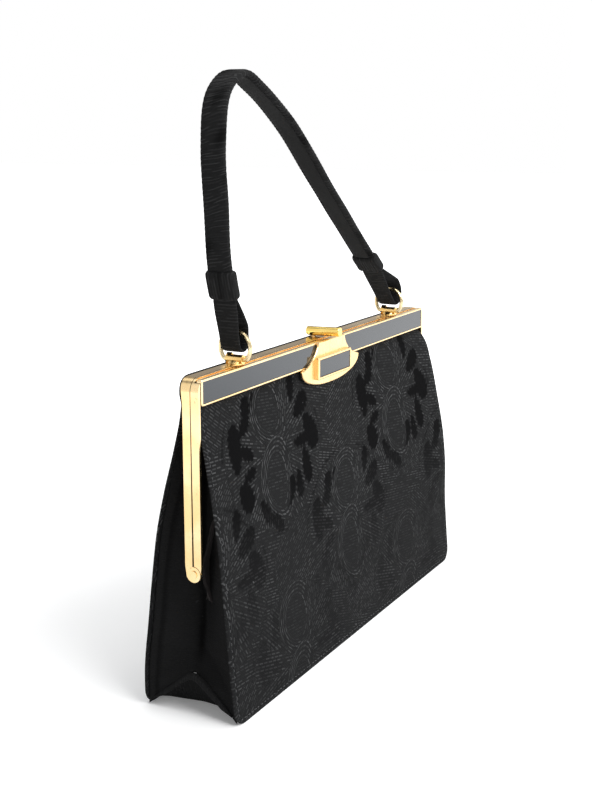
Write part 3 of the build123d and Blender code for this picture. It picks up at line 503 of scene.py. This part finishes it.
def brocade_fields(x, z):
    """Numbers that draw the cloth at each point: thread row, place along it, leaf share, contrast."""
    wave = 2.6 * np.sin(x / 31.0 + 0.6) + 1.8 * np.sin(z / 17.0 + x / 40.0)
    row = (z + 0.17 * x + wave) / ROW_PITCH
    run = x - 0.17 * z
    sweep = np.sin(x / 22.0 + 0.9) * np.sin(z / 15.0 - x / 70.0)
    row = np.where(sweep > 0.35, (z - 0.55 * x + wave) / (ROW_PITCH * 1.12), row)
    run = np.where(sweep > 0.35, x + 0.55 * z, run)
    row = np.where(sweep < -0.5, (z + 0.62 * x - wave) / (ROW_PITCH * 1.15) + 3.0, row)
    loose = np.sin(x / 17.0 + z / 33.0) * np.sin(z / 13.0 - x / 27.0)
    strong = 0.42 + 0.38 * np.clip(loose * 1.4 + 0.55, 0, 1)
    leaf_and_shade = np.zeros_like(x)
    for px, pz in palmettes:
        a = x - px
        b = z - pz
        reach = np.sqrt((a / FAN_HALF_WIDTH) ** 2 + (b / FAN_HALF_HEIGHT) ** 2)
        turn = np.arctan2(b / FAN_HALF_HEIGHT, a / FAN_HALF_WIDTH)
        fan = reach < 1.0
        sector = np.round(turn / FAN_SECTOR)
        way = sector * FAN_SECTOR
        row = np.where(fan, (b * np.cos(way) - 0.84 * a * np.sin(way)) / 1.65 + sector * 7.3, row)
        run = np.where(fan, a * np.cos(way) + b * np.sin(way), run)
        strong = np.where(fan, 0.72, strong)
        eggs = np.full_like(x, 9.0)
        for shift, side, wide, tall in ((21.0, 1.0, 12.5, 13.0), (-13.5, 0.0, 11.0, 15.5)):
            bent = a - side - 0.012 * (b - shift) ** 2 + 1.5
            size = np.sqrt((bent / wide) ** 2 + ((b - shift) / tall) ** 2)
            around = np.arctan2((b - shift) / tall, bent / wide)
            band = (size > EGG_CORE) & (size < 1.36)
            row = np.where(band, size * 12.8 / 1.75, row)
            run = np.where(band, around * size * 12.6, run)
            strong = np.where(band, 0.95, strong)
            core = size <= EGG_CORE
            row = np.where(core, (b + 0.1 * a) / ROW_PITCH, row)
            run = np.where(core, a, run)
            strong = np.where(core, 0.30, strong)
            eggs = np.minimum(eggs, size)
        for across, up, length, width, angle in petals:
            lean = math.radians(angle)
            c, d = math.cos(lean), math.sin(lean)
            u = (a - across) * c + (b - up) * d
            v = -(a - across) * d + (b - up) * c
            t = np.clip(u / length, -0.5, 0.5) * 2
            wide = width / 2 * np.sqrt(np.clip(1 - t * t, 0, 1)) * (1.08 + 0.25 * t)
            wide = wide + 0.7 * np.sin(u * 1.9 + up) * np.sign(v)
            inside = np.clip((wide - np.abs(v + 0.08 * u)) / 0.8, 0, 1) * (np.abs(u) < length / 2)
            inside = inside * np.clip((eggs - 1.02) / 0.12, 0.12, 1)
            leaf_and_shade = np.maximum(leaf_and_shade, inside)
        ring = 0.7 * np.clip(1 - np.abs(reach - 1.06) / 0.03, 0, 1) * (np.sin(turn * 7.0 + 0.6) > 0.25)
        leaf_and_shade = np.maximum(leaf_and_shade, ring)
    low = np.clip((z - 42) / 52.0, 0, 1)
    far = 1.0 - 0.25 * np.clip((x - 20) / 110.0, 0, 1)
    return row, run, leaf_and_shade * (0.22 + 0.78 * low), strong * (0.58 + 0.42 * low) * far


def edge_rows(top, count):
    """Heights from foot to top, closer together near both ends."""
    even = np.linspace(0, 1, count)
    low = 7.0 * (1 - np.cos(np.linspace(0, math.pi / 2, 14)))
    high = top - low[::-1]
    between = low[-1] + even * (high[0] - low[-1])
    return np.unique(np.round(np.concatenate([low, between, high]), 4))


def rounded_half(z, top, foot_radius, top_radius):
    """Half width of a panel with rounded corners."""
    half = half_at(z)
    low = np.clip(foot_radius - z, 0, foot_radius)
    high = np.clip(top_radius - (top - z), 0, top_radius)
    half = half - (foot_radius - np.sqrt(foot_radius**2 - low**2))
    return half - (top_radius - np.sqrt(top_radius**2 - high**2))


def panel_grid(top, foot_radius, top_radius, rows, columns):
    """Heights and sideways places over a panel, and each point's distance from its edge."""
    heights = edge_rows(top, rows)
    u = np.linspace(-1, 1, columns)
    u = u + 0.012 * np.sin(u * math.pi)
    half = rounded_half(heights, top, foot_radius, top_radius)
    x = u[None, :] * half[:, None]
    z = np.repeat(heights[:, None], columns, 1)
    border = np.minimum(half[:, None] - np.abs(x), z)
    return x, z, border


def turned_edge(border, depth):
    """How far a panel's face dips at its edge and along its stitching."""
    return depth * np.exp(-((border / 1.1) ** 2)) + 0.32 * np.exp(-(((border - 2.4) / 0.55) ** 2))


def leaf_sink(leaf_and_shade, border):
    """How far the satin leaves lie below the raised dashes."""
    return 0.14 * leaf_and_shade * np.clip((border - 4) / 3, 0, 1)


# Front panel: one piece of brocade, rounded over at its edge, with a line of stitching inside it
x, z, border = panel_grid(PANEL_TOP, FOOT_RADIUS, FRONT_TOP_RADIUS, rows=236, columns=330)
wrinkle = 0.35 * np.sin(x / 31.0 + z / 47.0) * np.sin(z / 29.0 + 0.8)
wrinkle = wrinkle + 0.22 * np.sin(x / 13.0 - z / 21.0) * np.sin(z / 17.0)
wrinkle = wrinkle * np.clip(border / 14.0, 0, 1) * np.clip((FASCIA_BOTTOM - z) / 14.0, 0, 1)
row, run, leaf_and_shade, strong = brocade_fields(x, z)
face_y = front_at(x, z) + wrinkle + turned_edge(border, depth=0.5) + leaf_sink(leaf_and_shade, border)
outer = np.stack([x, face_y, z], -1)
inner = np.stack([x * 0.9985, front_at(x, z) + 1.25, z], -1)
points, faces, origin = sheet_shell(outer, inner, bulge=0.35)
fields = cloth_fields(origin, row, run, leaf_and_shade, strong)
front_cloth = piece("front_cloth", points, faces, None, brocade, fields)
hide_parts("front_panel")
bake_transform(front_cloth)

# Rear panel: the same cloth, leaning in to the rear bar and up behind it
x, z, border = panel_grid(REAR_TOP, FOOT_RADIUS, REAR_TOP_RADIUS, rows=180, columns=240)
wrinkle = 0.5 * np.sin(x / 37.0 + 1.0) * np.sin(z / 33.0)
wrinkle = wrinkle * np.clip(border / 16.0, 0, 1) * np.clip((140 - z) / 20, 0, 1)
row, run, leaf_and_shade, strong = brocade_fields(-x + 21.0, z)
back_y = rear_face_at(z)
face_y = back_y + wrinkle - turned_edge(border, depth=0.45) - leaf_sink(leaf_and_shade, border)
outer = np.stack([x, face_y, z], -1)
inner = np.stack([x * 0.9985, back_y - 1.15, z], -1)
points, faces, origin = sheet_shell(outer, inner, bulge=0.3, flip=True)
fields = cloth_fields(origin, row, run, leaf_and_shade, strong)
rear_cloth = piece("rear_cloth", points, faces, "bag", brocade, fields)
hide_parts("rear_panel")


# Folded sides: the arch of the bottom between them, and how deep the fold may be at each height
ARCH_HEIGHT = 18.5
ARCH_HALF = 22.1
ARCH_Y = 0.4
ARCH_ROUNDING = 2.4
FOLD_HEIGHTS = (0, 14, 20, 28, 40, 60, 147.4)
FOLD_DEPTHS = (0.6, 1.6, 5.0, 9.5, 12.0, 13.0, 17.0)


def arch_at(y, raised=0.0):
    """Underside of the folded-up bottom, from the side."""
    slope = ARCH_HEIGHT / ARCH_HALF
    grown = ARCH_HALF + raised / math.sin(math.atan(slope))
    top = slope * grown
    d = np.sqrt((y - ARCH_Y) ** 2 + ARCH_ROUNDING**2) - ARCH_ROUNDING * 0.82
    return np.maximum(top - slope * d, 0)


def gusset(name, side, node):
    """Side of the bag: a sheet folded inward, its crease parting in two above the folded bottom."""
    across = np.linspace(0, 1, 66)
    rise = np.linspace(0, 1, 130) ** 1.25
    near_low = front_at(side * 128.0, np.array(4.0)) + 1.5
    far_low = rear_at(np.array(4.0)) - 1.5
    y_low = near_low + across * (far_low - near_low)
    start = np.maximum(arch_at(y_low, 1.5) - 0.9, 0.3)
    z = start[None, :] + (FASCIA_BOTTOM - start[None, :]) * rise[:, None]
    edge = half_at(z) - SEAM
    near = front_at(side * edge, z) + 1.45
    far = rear_at(z) - 1.45
    y = near + across[None, :] * (far - near)
    t = (crease_at(z) - near) / (far - near)
    side_share = np.where(across[None, :] < t, across[None, :] / t, (1 - across[None, :]) / (1 - t))
    open_low = np.clip((30.0 - z) / 16.0, 0, 1) ** 0.85
    depth_full = np.interp(z, FOLD_HEIGHTS, FOLD_DEPTHS)
    depth_full = np.minimum(depth_full, fold_at(z) + 2.2 + 6.0 * np.clip((58.0 - z) / 14.0, 0, 1))
    sharp = np.minimum(1.0, side_share / (1 - 0.86 * open_low + 1e-6))
    soft = 1 - np.sqrt((1 - sharp) ** 2 + 0.0035) + 0.059
    depth = depth_full * np.clip(soft, 0, 1)
    roll = np.sin(side_share * math.pi) * np.clip((z - 30) / 60, 0, 1)
    depth = depth + np.where(across[None, :] < t, -0.35, -0.75) * roll
    sag = 0.30 * np.sin(z / 11.0 + across[None, :] * 5) * np.sin(across[None, :] * math.pi)
    sag = sag * np.clip((120 - z) / 60, 0, 1)
    crumple = 0.9 * np.exp(-(((z - 47) / 5.0) ** 2)) * np.exp(-(((across[None, :] - t - 0.12) / 0.10) ** 2))
    x = side * (edge - depth - sag - crumple)
    outer = np.stack([x, y, z], -1)
    inner = np.stack([x - side * 0.55, y, z], -1)
    points, faces, origin = sheet_shell(outer, inner, bulge=0.05, steps=2, flip=side > 0)
    # Painted shade: the cloth is darkened along the crease, on the crease's front side and in a band near
    # the rear seam, and this goes to the cloth in place of its satin leaves.
    from_crease = (across[None, :] - t) * (far - near)
    shade = 0.85 * np.exp(-((from_crease / 2.6) ** 2)) * np.clip((z - 20) / 10, 0, 1)
    beside_crease_shade = 0.6 * np.exp(-(((from_crease + 4.5) / 6.0) ** 2)) * np.clip((z - 30) / 30, 0, 1)
    from_rear = far - y
    rear_seam_shade = 0.5 * np.clip((6 - from_rear) / 2.0, 0, 1) * np.clip((from_rear - 2.6) / 0.8, 0, 1)
    shade = np.maximum(np.maximum(shade, beside_crease_shade), rear_seam_shade)
    fields = cloth_fields(origin, z / 0.8, y + 0.2 * z, shade, np.full(z.shape, 0.35))
    made = piece(name, points, faces, None, side_cloth, fields)
    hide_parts(node)
    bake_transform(made)


gusset("gusset_cloth_left", -1, "gusset_left")
gusset("gusset_cloth_right", 1, "gusset_right")

# Bottom: one sheet folded up into an arch, hemmed at both ends
BOTTOM_HALF = 128.6
y_line = np.linspace(-20.9, 21.7, 61)
profile_z = np.maximum(arch_at(y_line, 1.5) + 0.25, 1.0)
x_end = np.linspace(120, BOTTOM_HALF, 15)
x_line = np.concatenate([-x_end[::-1], np.linspace(-118, 118, 60), x_end])
xs, ys = np.meshgrid(x_line, y_line, indexing="ij")
end = BOTTOM_HALF - np.abs(xs)
drop = np.clip((end - 2.2) / 9.5, 0, 1)
drop = drop * drop * (3 - 2 * drop)
zs = 1.0 + (profile_z[None, :] - 1.0) * (1 - 0.93 * drop)
zs = zs + 0.45 * np.exp(-(((end - 0.9) / 0.7) ** 2))
zs = zs + 0.25 * np.sin(xs / 17.0) * np.sin(ys / 9.0) * (end > 6)
outer = np.stack([xs, ys, zs], -1)
hem = 0.75 + 1.9 * np.clip((3.4 - end) / 0.8, 0, 1) * np.clip((20.8 - np.abs(ys - ARCH_Y)) / 5.0, 0, 1)
inner = np.stack([xs, ys, np.maximum(zs - hem, 0.05)], -1)
points, faces, origin = sheet_shell(outer, inner, bulge=0.3)
fields = cloth_fields(origin, ys / 1.25, xs, np.zeros(xs.shape), np.full(xs.shape, 0.7))
bottom_sheet = piece("bottom_sheet", points, faces, "bag", side_cloth, fields)
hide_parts("bottom_panel")

# Lining: a pouch inside the panels and sides
RING_POINTS = 192
WALL_POINTS = 41
DRAWN_IN_FROM = 143
levels = np.concatenate([np.linspace(20.5, 140, 26), np.linspace(DRAWN_IN_FROM, 157.5, 6)])
pouch = []
for level in levels:
    height = np.array(min(level, FASCIA_BOTTOM))
    low = np.clip((64.0 - height) / 18.0, 0, 1)
    loose_low = np.clip((98.0 - height) / 26.0, 0, 1)
    half = half_at(height) - 4.2 - 10.0 * low
    fold = np.minimum(fold_at(height) + 3.0, 15.5) * (1 - low) + 1.0 * low
    across = np.linspace(-half, half, WALL_POINTS)
    front = front_at(across, height) + 2.1 + 12.0 * loose_low
    back = rear_at(height) - 1.9
    crease = crease_at(height)
    if level > DRAWN_IN_FROM:
        share = min(1.0, (level - DRAWN_IN_FROM) / 5)
        front = front * (1 - share) - 0.55 * share
        back = back * (1 - share) + 3.75 * share
        crease = crease * (1 - share) + 1.6 * share
    corners = list(zip(across, front)) + [(half - fold, crease)]
    corners = corners + [(v, back) for v in across[::-1]] + [(-half + fold, crease)]
    corners = np.array(corners + corners[:1])
    length = distances(corners)
    at = np.linspace(0, length[-1], RING_POINTS + 1)[:-1]
    pouch.append(np.column_stack([points_along(corners, length, at), np.full(len(at), level)]))
pouch = np.array(pouch)
faces = list(grid_faces(len(levels), RING_POINTS, closed=True))
faces.append(tuple(range(RING_POINTS))[::-1])
lining_cloth = piece("lining_pouch", pouch.reshape(-1, 3), faces, None, lining_silk, {})
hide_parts("lining")
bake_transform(lining_cloth)


# Stitching
def stitches(name, centres, along, out, body, length=1.7, width=0.42, lift=0.22):
    """Short raised thread stitches, one at each centre."""
    ring = 6
    stations_along = np.linspace(-1, 1, 7)
    points, faces = [], []
    for centre, direction, outward in zip(centres, along, out):
        direction = direction / np.linalg.norm(direction)
        outward = outward / np.linalg.norm(outward)
        sideways = np.cross(direction, outward)
        start = len(points)
        for u in stations_along:
            round_off = math.sqrt(max(0.02, 1 - u * u))
            dip = -0.25 * u * u
            for k in range(ring):
                angle = 2 * math.pi * k / ring
                offset = sideways * math.cos(angle) * width / 2 * round_off
                offset = offset + outward * (math.sin(angle) * width * 0.42 * round_off + lift * 0.5 + dip)
                points.append(centre + direction * u * length / 2 + offset)
        faces.extend(tube_faces(len(stations_along), ring, start))
    return piece(name, points, faces, body, thread, {})


def seam_line(top, foot_radius, top_radius, inset, high, count=900):
    """Line at a distance inside a panel's edge, down one side, along the foot and up the other."""
    heights = np.linspace(high, inset, count)
    half = rounded_half(heights, top, foot_radius, top_radius) - inset
    down = np.stack([-half, heights], -1)
    foot = np.stack([np.linspace(-half[-1], half[-1], count), np.full(count, inset)], -1)
    return np.concatenate([down, foot[1:-1], down[::-1] * [-1, 1]])


def spaced(path, step):
    """Places along a path at even steps, and the direction there."""
    length = distances(path)
    at = np.arange(step / 2, length[-1], step)
    at = at + rng.uniform(-0.12, 0.12, len(at)) * step
    here = points_along(path, length, at)
    return here, points_along(path, length, at + 0.4) - here


def seam_places(top, top_radius, high):
    """Places of the stitches on a panel, and the direction there."""
    path = seam_line(top, FOOT_RADIUS, top_radius, STITCH_INSET, high)
    here, direction = spaced(path, STITCH_STEP)
    good = np.linalg.norm(direction, axis=1) > 0.05
    return here[good], direction[good]


def front_point(flat):
    """Place on the front panel's stitching, from its place across and up."""
    return np.stack([flat[:, 0], front_at(flat[:, 0], flat[:, 1]) + THREAD_SINK, flat[:, 1]], -1)


def rear_point(flat):
    """Place on the rear panel's stitching, from its place across and up."""
    return np.stack([flat[:, 0], rear_face_at(flat[:, 1]) - THREAD_SINK, flat[:, 1]], -1)


here, direction = seam_places(PANEL_TOP, FRONT_TOP_RADIUS, FASCIA_BOTTOM - 1.0)
centres = front_point(here)
outward = np.tile([0, -1.0, 0.15], (len(centres), 1))
front_thread = stitches("front_stitches", centres, front_point(here + direction) - centres, outward, None)
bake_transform(front_thread)

here, direction = seam_places(REAR_TOP, REAR_TOP_RADIUS, 156.0)
centres = rear_point(here)
outward = np.tile([0, 1.0, 0.2], (len(centres), 1))
stitches("rear_stitches", centres, rear_point(here + direction) - centres, outward, "bag")

# Handle
route_points = np.array([
    (-95.2, 190.5), (-99.6, 205.0), (-102.3, 235.0), (-104.0, 260.0), (-98.5, 284.0), (-84.0, 292.0),
    (-69.0, 286.5), (-44.0, 273.0), (0.0, 238.8), (34.0, 212.0), (64.0, 188.8),
])
spacing = distances(route_points)
route_x = smooth_table(spacing, route_points[:, 0])
route_z = smooth_table(spacing, route_points[:, 1])
fine = np.linspace(0, spacing[-1], 1500)
curve = np.stack([route_x(fine), route_z(fine)], -1)
SMOOTHING = 40
kernel = np.exp(-np.linspace(-2, 2, 2 * SMOOTHING + 1) ** 2)
kernel /= kernel.sum()
before = curve[:1] + np.linspace(-SMOOTHING, -1, SMOOTHING)[:, None] * (curve[1] - curve[0])
after = curve[-1:] + np.linspace(1, SMOOTHING, SMOOTHING)[:, None] * (curve[-1] - curve[-2])
padded = np.concatenate([before, curve, after])
curve = np.stack([np.convolve(padded[:, k], kernel, "valid") for k in (0, 1)], -1)
total = distances(curve)


def on_route(distance):
    """Point on the handle's centre line and the direction away from the bag."""
    distance = np.asarray(distance, float)
    at = points_along(curve, total, distance)
    along = points_along(curve, total, distance + 0.5) - points_along(curve, total, distance - 0.5)
    along /= np.linalg.norm(along, axis=-1, keepdims=True)
    away = np.stack([-along[..., 1], along[..., 0]], -1)
    return at, away


STRAP_WIDTH = 12.6
STRAP_THICK = 3.2
LOOP_HALF_THICK = 0.72
KEEPER_LENGTH = 13.4
KEEPER_FROM_END = 8.2
KEEPER_END_SIZE = (6.75, 2.05)
around = np.linspace(0, 2 * math.pi, 49)[:-1]
oval = boxy_round(around, 0.42, 0.62)
places = np.linspace(1.0, total[-1] - 1.0, 520)
at, away = on_route(places)
swell = 1 + 0.025 * np.sin(places / 9.0) + 0.02 * np.sin(places / 4.1 + 1)
rib = 0.16 * np.sin(places[:, None] * 2 * math.pi / 2.6 + oval[None, :, 0] * 1.3)
half_w = STRAP_WIDTH / 2 * (1 + 0.012 * np.sin(places / 6.0))
half_t = STRAP_THICK / 2 * swell
section = np.stack([oval[None, :, 0] * half_w[:, None], oval[None, :, 1] * (half_t[:, None] + rib)], -1)
faces = tube_faces(len(places), len(around))
sideways = section[..., 0]
down_strap = places[:, None]
ribs = np.repeat((places / 1.3 + 0.8 * np.sin(places / 5.0))[:, None], len(around), 1)
sheen = np.sin(places / 5.3)[:, None] * np.sin(sideways / 3.4 + down_strap / 8.0)
fields = {
    "row": ribs + sideways * 0.16 + 0.22 * np.sin(sideways / 2.2 + down_strap / 7.0),
    "run": sideways,
    "leaf_and_shade": 0.8 * np.clip(sheen * 2 - 0.9, 0, 1),
    "strong": np.full(section.shape[:2], 0.8),
}
strap = piece("strap_band", swept(at, away, section), faces, "handle", band_cloth, fields)


def loop_band(name, outline, width_low, width_high):
    """Flat band that runs down from the strap, round the ring and back up."""
    outline = np.asarray(outline, float)
    length = distances(outline)
    at = np.linspace(0, length[-1], 130)
    line = points_along(outline, length, at)
    soft = np.exp(-np.linspace(-2, 2, 13) ** 2)
    soft /= soft.sum()
    for k in (0, 1):
        line[6:-6, k] = np.convolve(line[:, k], soft, "valid")
    along = np.gradient(line, axis=0)
    along /= np.linalg.norm(along, axis=1)[:, None]
    away = np.stack([-along[:, 1], along[:, 0]], -1)
    wide = np.interp(line[:, 1], [174, 185], [width_low / 2, width_high / 2])
    spots = np.linspace(0, 2 * math.pi, 25)[:-1]
    form = boxy_round(spots, 0.35, 0.7)
    thick = np.full((len(line), 1), LOOP_HALF_THICK)
    section = np.stack([form[None, :, 0] * wide[:, None], form[None, :, 1] * thick], -1)
    given = {
        "row": np.repeat((at / 1.6)[:, None], len(spots), 1), "run": section[..., 0],
        "leaf_and_shade": np.zeros(section.shape[:2]), "strong": np.full(section.shape[:2], 0.55),
    }
    quads = tube_faces(len(line), len(spots))
    piece(name, swept(line, away, section), quads, "handle", band_cloth, given)


def hull_path(circles, tip, wall, tip_radius):
    """Middle line of a band wrapped round circles, from the tip and back to it."""
    points = []
    for (cx, cz), radius in circles:
        for angle in np.linspace(0, 2 * math.pi, 90):
            points.append((cx + (radius + wall) * math.cos(angle), cz + (radius + wall) * math.sin(angle)))
    for angle in np.linspace(0, 2 * math.pi, 60):
        points.append((tip[0] + tip_radius * math.cos(angle), tip[1] + tip_radius * math.sin(angle)))
    points = np.array(points)
    points = points[np.lexsort((points[:, 1], points[:, 0]))]

    def half(ordered):
        chain = []
        for p in ordered:
            while len(chain) > 1 and np.cross(chain[-1] - chain[-2], p - chain[-2]) <= 1e-9:
                chain.pop()
            chain.append(p)
        return chain[:-1]

    ring = np.array(half(points) + half(points[::-1]))
    first = np.argmax(ring[:, 1])
    ring = np.roll(ring, -first, 0)
    return np.concatenate([ring, ring[:1]])[2:-2]


left_tip, right_tip = route_points[0], route_points[-1]
left_circles = [((-87.6, 170.7), 3.4), ((-87.9, 176.6), 3.0)]
right_circles = [((87.5, 172.5), 5.2), ((85.0, 176.6), 4.2)]
for name, circles, tip in (("loop_left", left_circles, left_tip), ("loop_right", right_circles, right_tip)):
    loop_path = hull_path(circles, tip, wall=0.75, tip_radius=0.85)
    loop_band(name, loop_path, width_low=10.6, width_high=12.2)
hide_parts("handle_strap")

# Facing strip along the strap's underside
FACING_FROM_END = 16.0
places = np.linspace(FACING_FROM_END, total[-1] - FACING_FROM_END, 300)
at, away = on_route(places)
FACING_HALF = 4.1
FACING_INNER_HALF = 4.0
base = at - away * (STRAP_THICK / 2 + 0.25)
top = at - away * (STRAP_THICK / 2 - 0.1)
outer, inner = [], []
for u in np.linspace(-1, 1, 15):
    low = base - away * 0.22 * (1 - abs(u) ** 4)
    outer.append(np.stack([low[:, 0], np.full(len(low), u * FACING_HALF), low[:, 1]], -1))
    inner.append(np.stack([top[:, 0], np.full(len(top), u * FACING_INNER_HALF), top[:, 1]], -1))
points, faces, origin = sheet_shell(np.array(outer), np.array(inner), bulge=0.1, steps=2)
facing = piece("facing_strip", points, faces, "handle", facing_cloth, {})
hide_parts("handle_facing")


def keeper(name, middle, node):
    """Gathered band round the strap, rounded at both ends, with folds across it."""
    steps = np.linspace(-1, 1, 33)
    spots = np.linspace(0, 2 * math.pi, 97)[:-1]
    form = boxy_round(spots, 0.38, 0.55)
    at, away = on_route(middle + steps * KEEPER_LENGTH / 2)
    grow = 1 - np.exp(-(1 - np.abs(steps)) * 11.0)
    wide = KEEPER_END_SIZE[0] + 0.75 * grow
    thick = KEEPER_END_SIZE[1] + 0.95 * grow
    gather = 0.20 * np.sin(spots[None, :] * 17 + 1.2 * np.sin(steps[:, None] * 3))
    gather = gather * (0.4 + 0.6 * np.abs(steps[:, None]) ** 0.5)
    dark = np.exp(-((form[None, :, 0] / 0.05) ** 2)) * (form[None, :, 1] > 0.5)
    through = thick[:, None] + gather - 0.45 * dark
    section = np.stack([form[None, :, 0] * wide[:, None], form[None, :, 1] * through], -1)
    quads = tube_faces(len(steps), len(spots))
    down_band = np.repeat((steps * KEEPER_LENGTH / 2)[:, None], len(spots), 1)
    given = {
        "row": section[..., 0] / 1.5, "run": down_band,
        "leaf_and_shade": np.broadcast_to(0.7 * dark, gather.shape), "strong": np.full(section.shape[:2], 0.5),
    }
    made = piece(name, swept(at, away, section), quads, "handle", band_cloth, given)
    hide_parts(node)


keeper("keeper_band_left", KEEPER_FROM_END, "keeper_left")
keeper("keeper_band_right", total[-1] - KEEPER_FROM_END, "keeper_right")

# Floor, light and surroundings
floor_mesh = bpy.data.meshes.new("floor")
floor_mesh.from_pydata([(-6, -6, 0), (6, -6, 0), (6, 6, 0), (-6, 6, 0)], [], [(0, 1, 2, 3)])
floor = bpy.data.objects.new("floor", floor_mesh)
bpy.context.collection.objects.link(floor)
net = Net("glowing_floor_paper", Roughness=0.95, Specular_IOR_Level=0.05)
net.finish(net.mix(net.noise(2.0), (0.93, 0.93, 0.93), (0.95, 0.95, 0.95)))
# Painted light: the floor glows for camera, glossy and transmission rays, dimly near the bag and fully far
# from it, so it shows white away from the bag and stays darker close to it.
glow = net.tree.nodes.new("ShaderNodeEmission")
glow.inputs["Color"].default_value = (1, 1, 1, 1)
path_node = net.tree.nodes.new("ShaderNodeLightPath")
seen = net.maths("MAXIMUM", path_node.outputs["Is Camera Ray"], path_node.outputs["Is Glossy Ray"])
seen = net.maths("MAXIMUM", seen, path_node.outputs["Is Transmission Ray"])
distance = net.tree.nodes.new("ShaderNodeVectorMath")
distance.operation = "LENGTH"
net.put(distance.inputs[0], net.place)
glow_by_distance = net.spread(distance.outputs["Value"], 0.22, 0.85, 0.16, 1.0)
net.put(glow.inputs["Strength"], net.maths("MULTIPLY", seen, glow_by_distance))
add_node = net.tree.nodes.new("ShaderNodeAddShader")
net.tree.links.new(net.shader.outputs[0], add_node.inputs[0])
net.tree.links.new(glow.outputs[0], add_node.inputs[1])
net.tree.links.new(add_node.outputs[0], net.out.inputs["Surface"])
floor_mesh.materials.append(net.material)

# The surroundings are soft for cloth, and brighter with upright bands for metal
SOFT_STRENGTH = 0.30
BAND_COUNT = 5.0
BAND_DARK = 0.34
BAND_LIGHT = 1.12
world = bpy.data.worlds.new("studio")
bpy.context.scene.world = world
world.use_nodes = True
tree = world.node_tree
tree.nodes.clear()
world_out = tree.nodes.new("ShaderNodeOutputWorld")
seen_light = tree.nodes.new("ShaderNodeBackground")
soft_light = tree.nodes.new("ShaderNodeBackground")
blend_light = tree.nodes.new("ShaderNodeMixShader")
world_path = tree.nodes.new("ShaderNodeLightPath")
seen_light.inputs["Color"].default_value = (1, 1, 1, 1)
soft_light.inputs["Color"].default_value = (0.96, 0.98, 1.0, 1)
soft_light.inputs["Strength"].default_value = SOFT_STRENGTH
heading = tree.nodes.new("ShaderNodeTexCoord")
parts = tree.nodes.new("ShaderNodeSeparateXYZ")
tree.links.new(heading.outputs["Generated"], parts.inputs[0])
turned = maths_node(tree, "ARCTAN2", parts.outputs["X"], parts.outputs["Y"])
wavy = maths_node(tree, "SINE", maths_node(tree, "MULTIPLY", turned, BAND_COUNT))
soft_band = range_node(tree, wavy, -0.9, 0.5, BAND_DARK, BAND_LIGHT)
rays = world_path.outputs
whole_light = maths_node(tree, "MAXIMUM", rays["Is Camera Ray"], soft_band)
tree.links.new(whole_light, seen_light.inputs["Strength"])
direct = maths_node(tree, "MAXIMUM", rays["Is Camera Ray"], rays["Is Glossy Ray"])
direct = maths_node(tree, "MAXIMUM", direct, rays["Is Transmission Ray"])
tree.links.new(direct, blend_light.inputs[0])
tree.links.new(soft_light.outputs[0], blend_light.inputs[1])
tree.links.new(seen_light.outputs[0], blend_light.inputs[2])
tree.links.new(blend_light.outputs[0], world_out.inputs["Surface"])


def lamp(name, place, towards, size, power):
    """Soft rectangular studio lamp."""
    data = bpy.data.lights.new(name, "AREA")
    data.shape = "RECTANGLE"
    data.size, data.size_y = size
    data.energy = power
    made = bpy.data.objects.new(name, data)
    bpy.context.collection.objects.link(made)
    made.location = place
    made.rotation_euler = (Vector(towards) - Vector(place)).to_track_quat("-Z", "Y").to_euler()


lamp("key", (-0.35, -1.25, 1.25), (0, 0, 0.08), size=(1.0, 0.9), power=19.0)
lamp("top", (0.1, -0.1, 1.5), (0, 0, 0.1), size=(1.2, 1.2), power=15.0)
lamp("right", (1.1, -0.9, 0.7), (0, 0, 0.1), size=(0.8, 0.8), power=5.0)
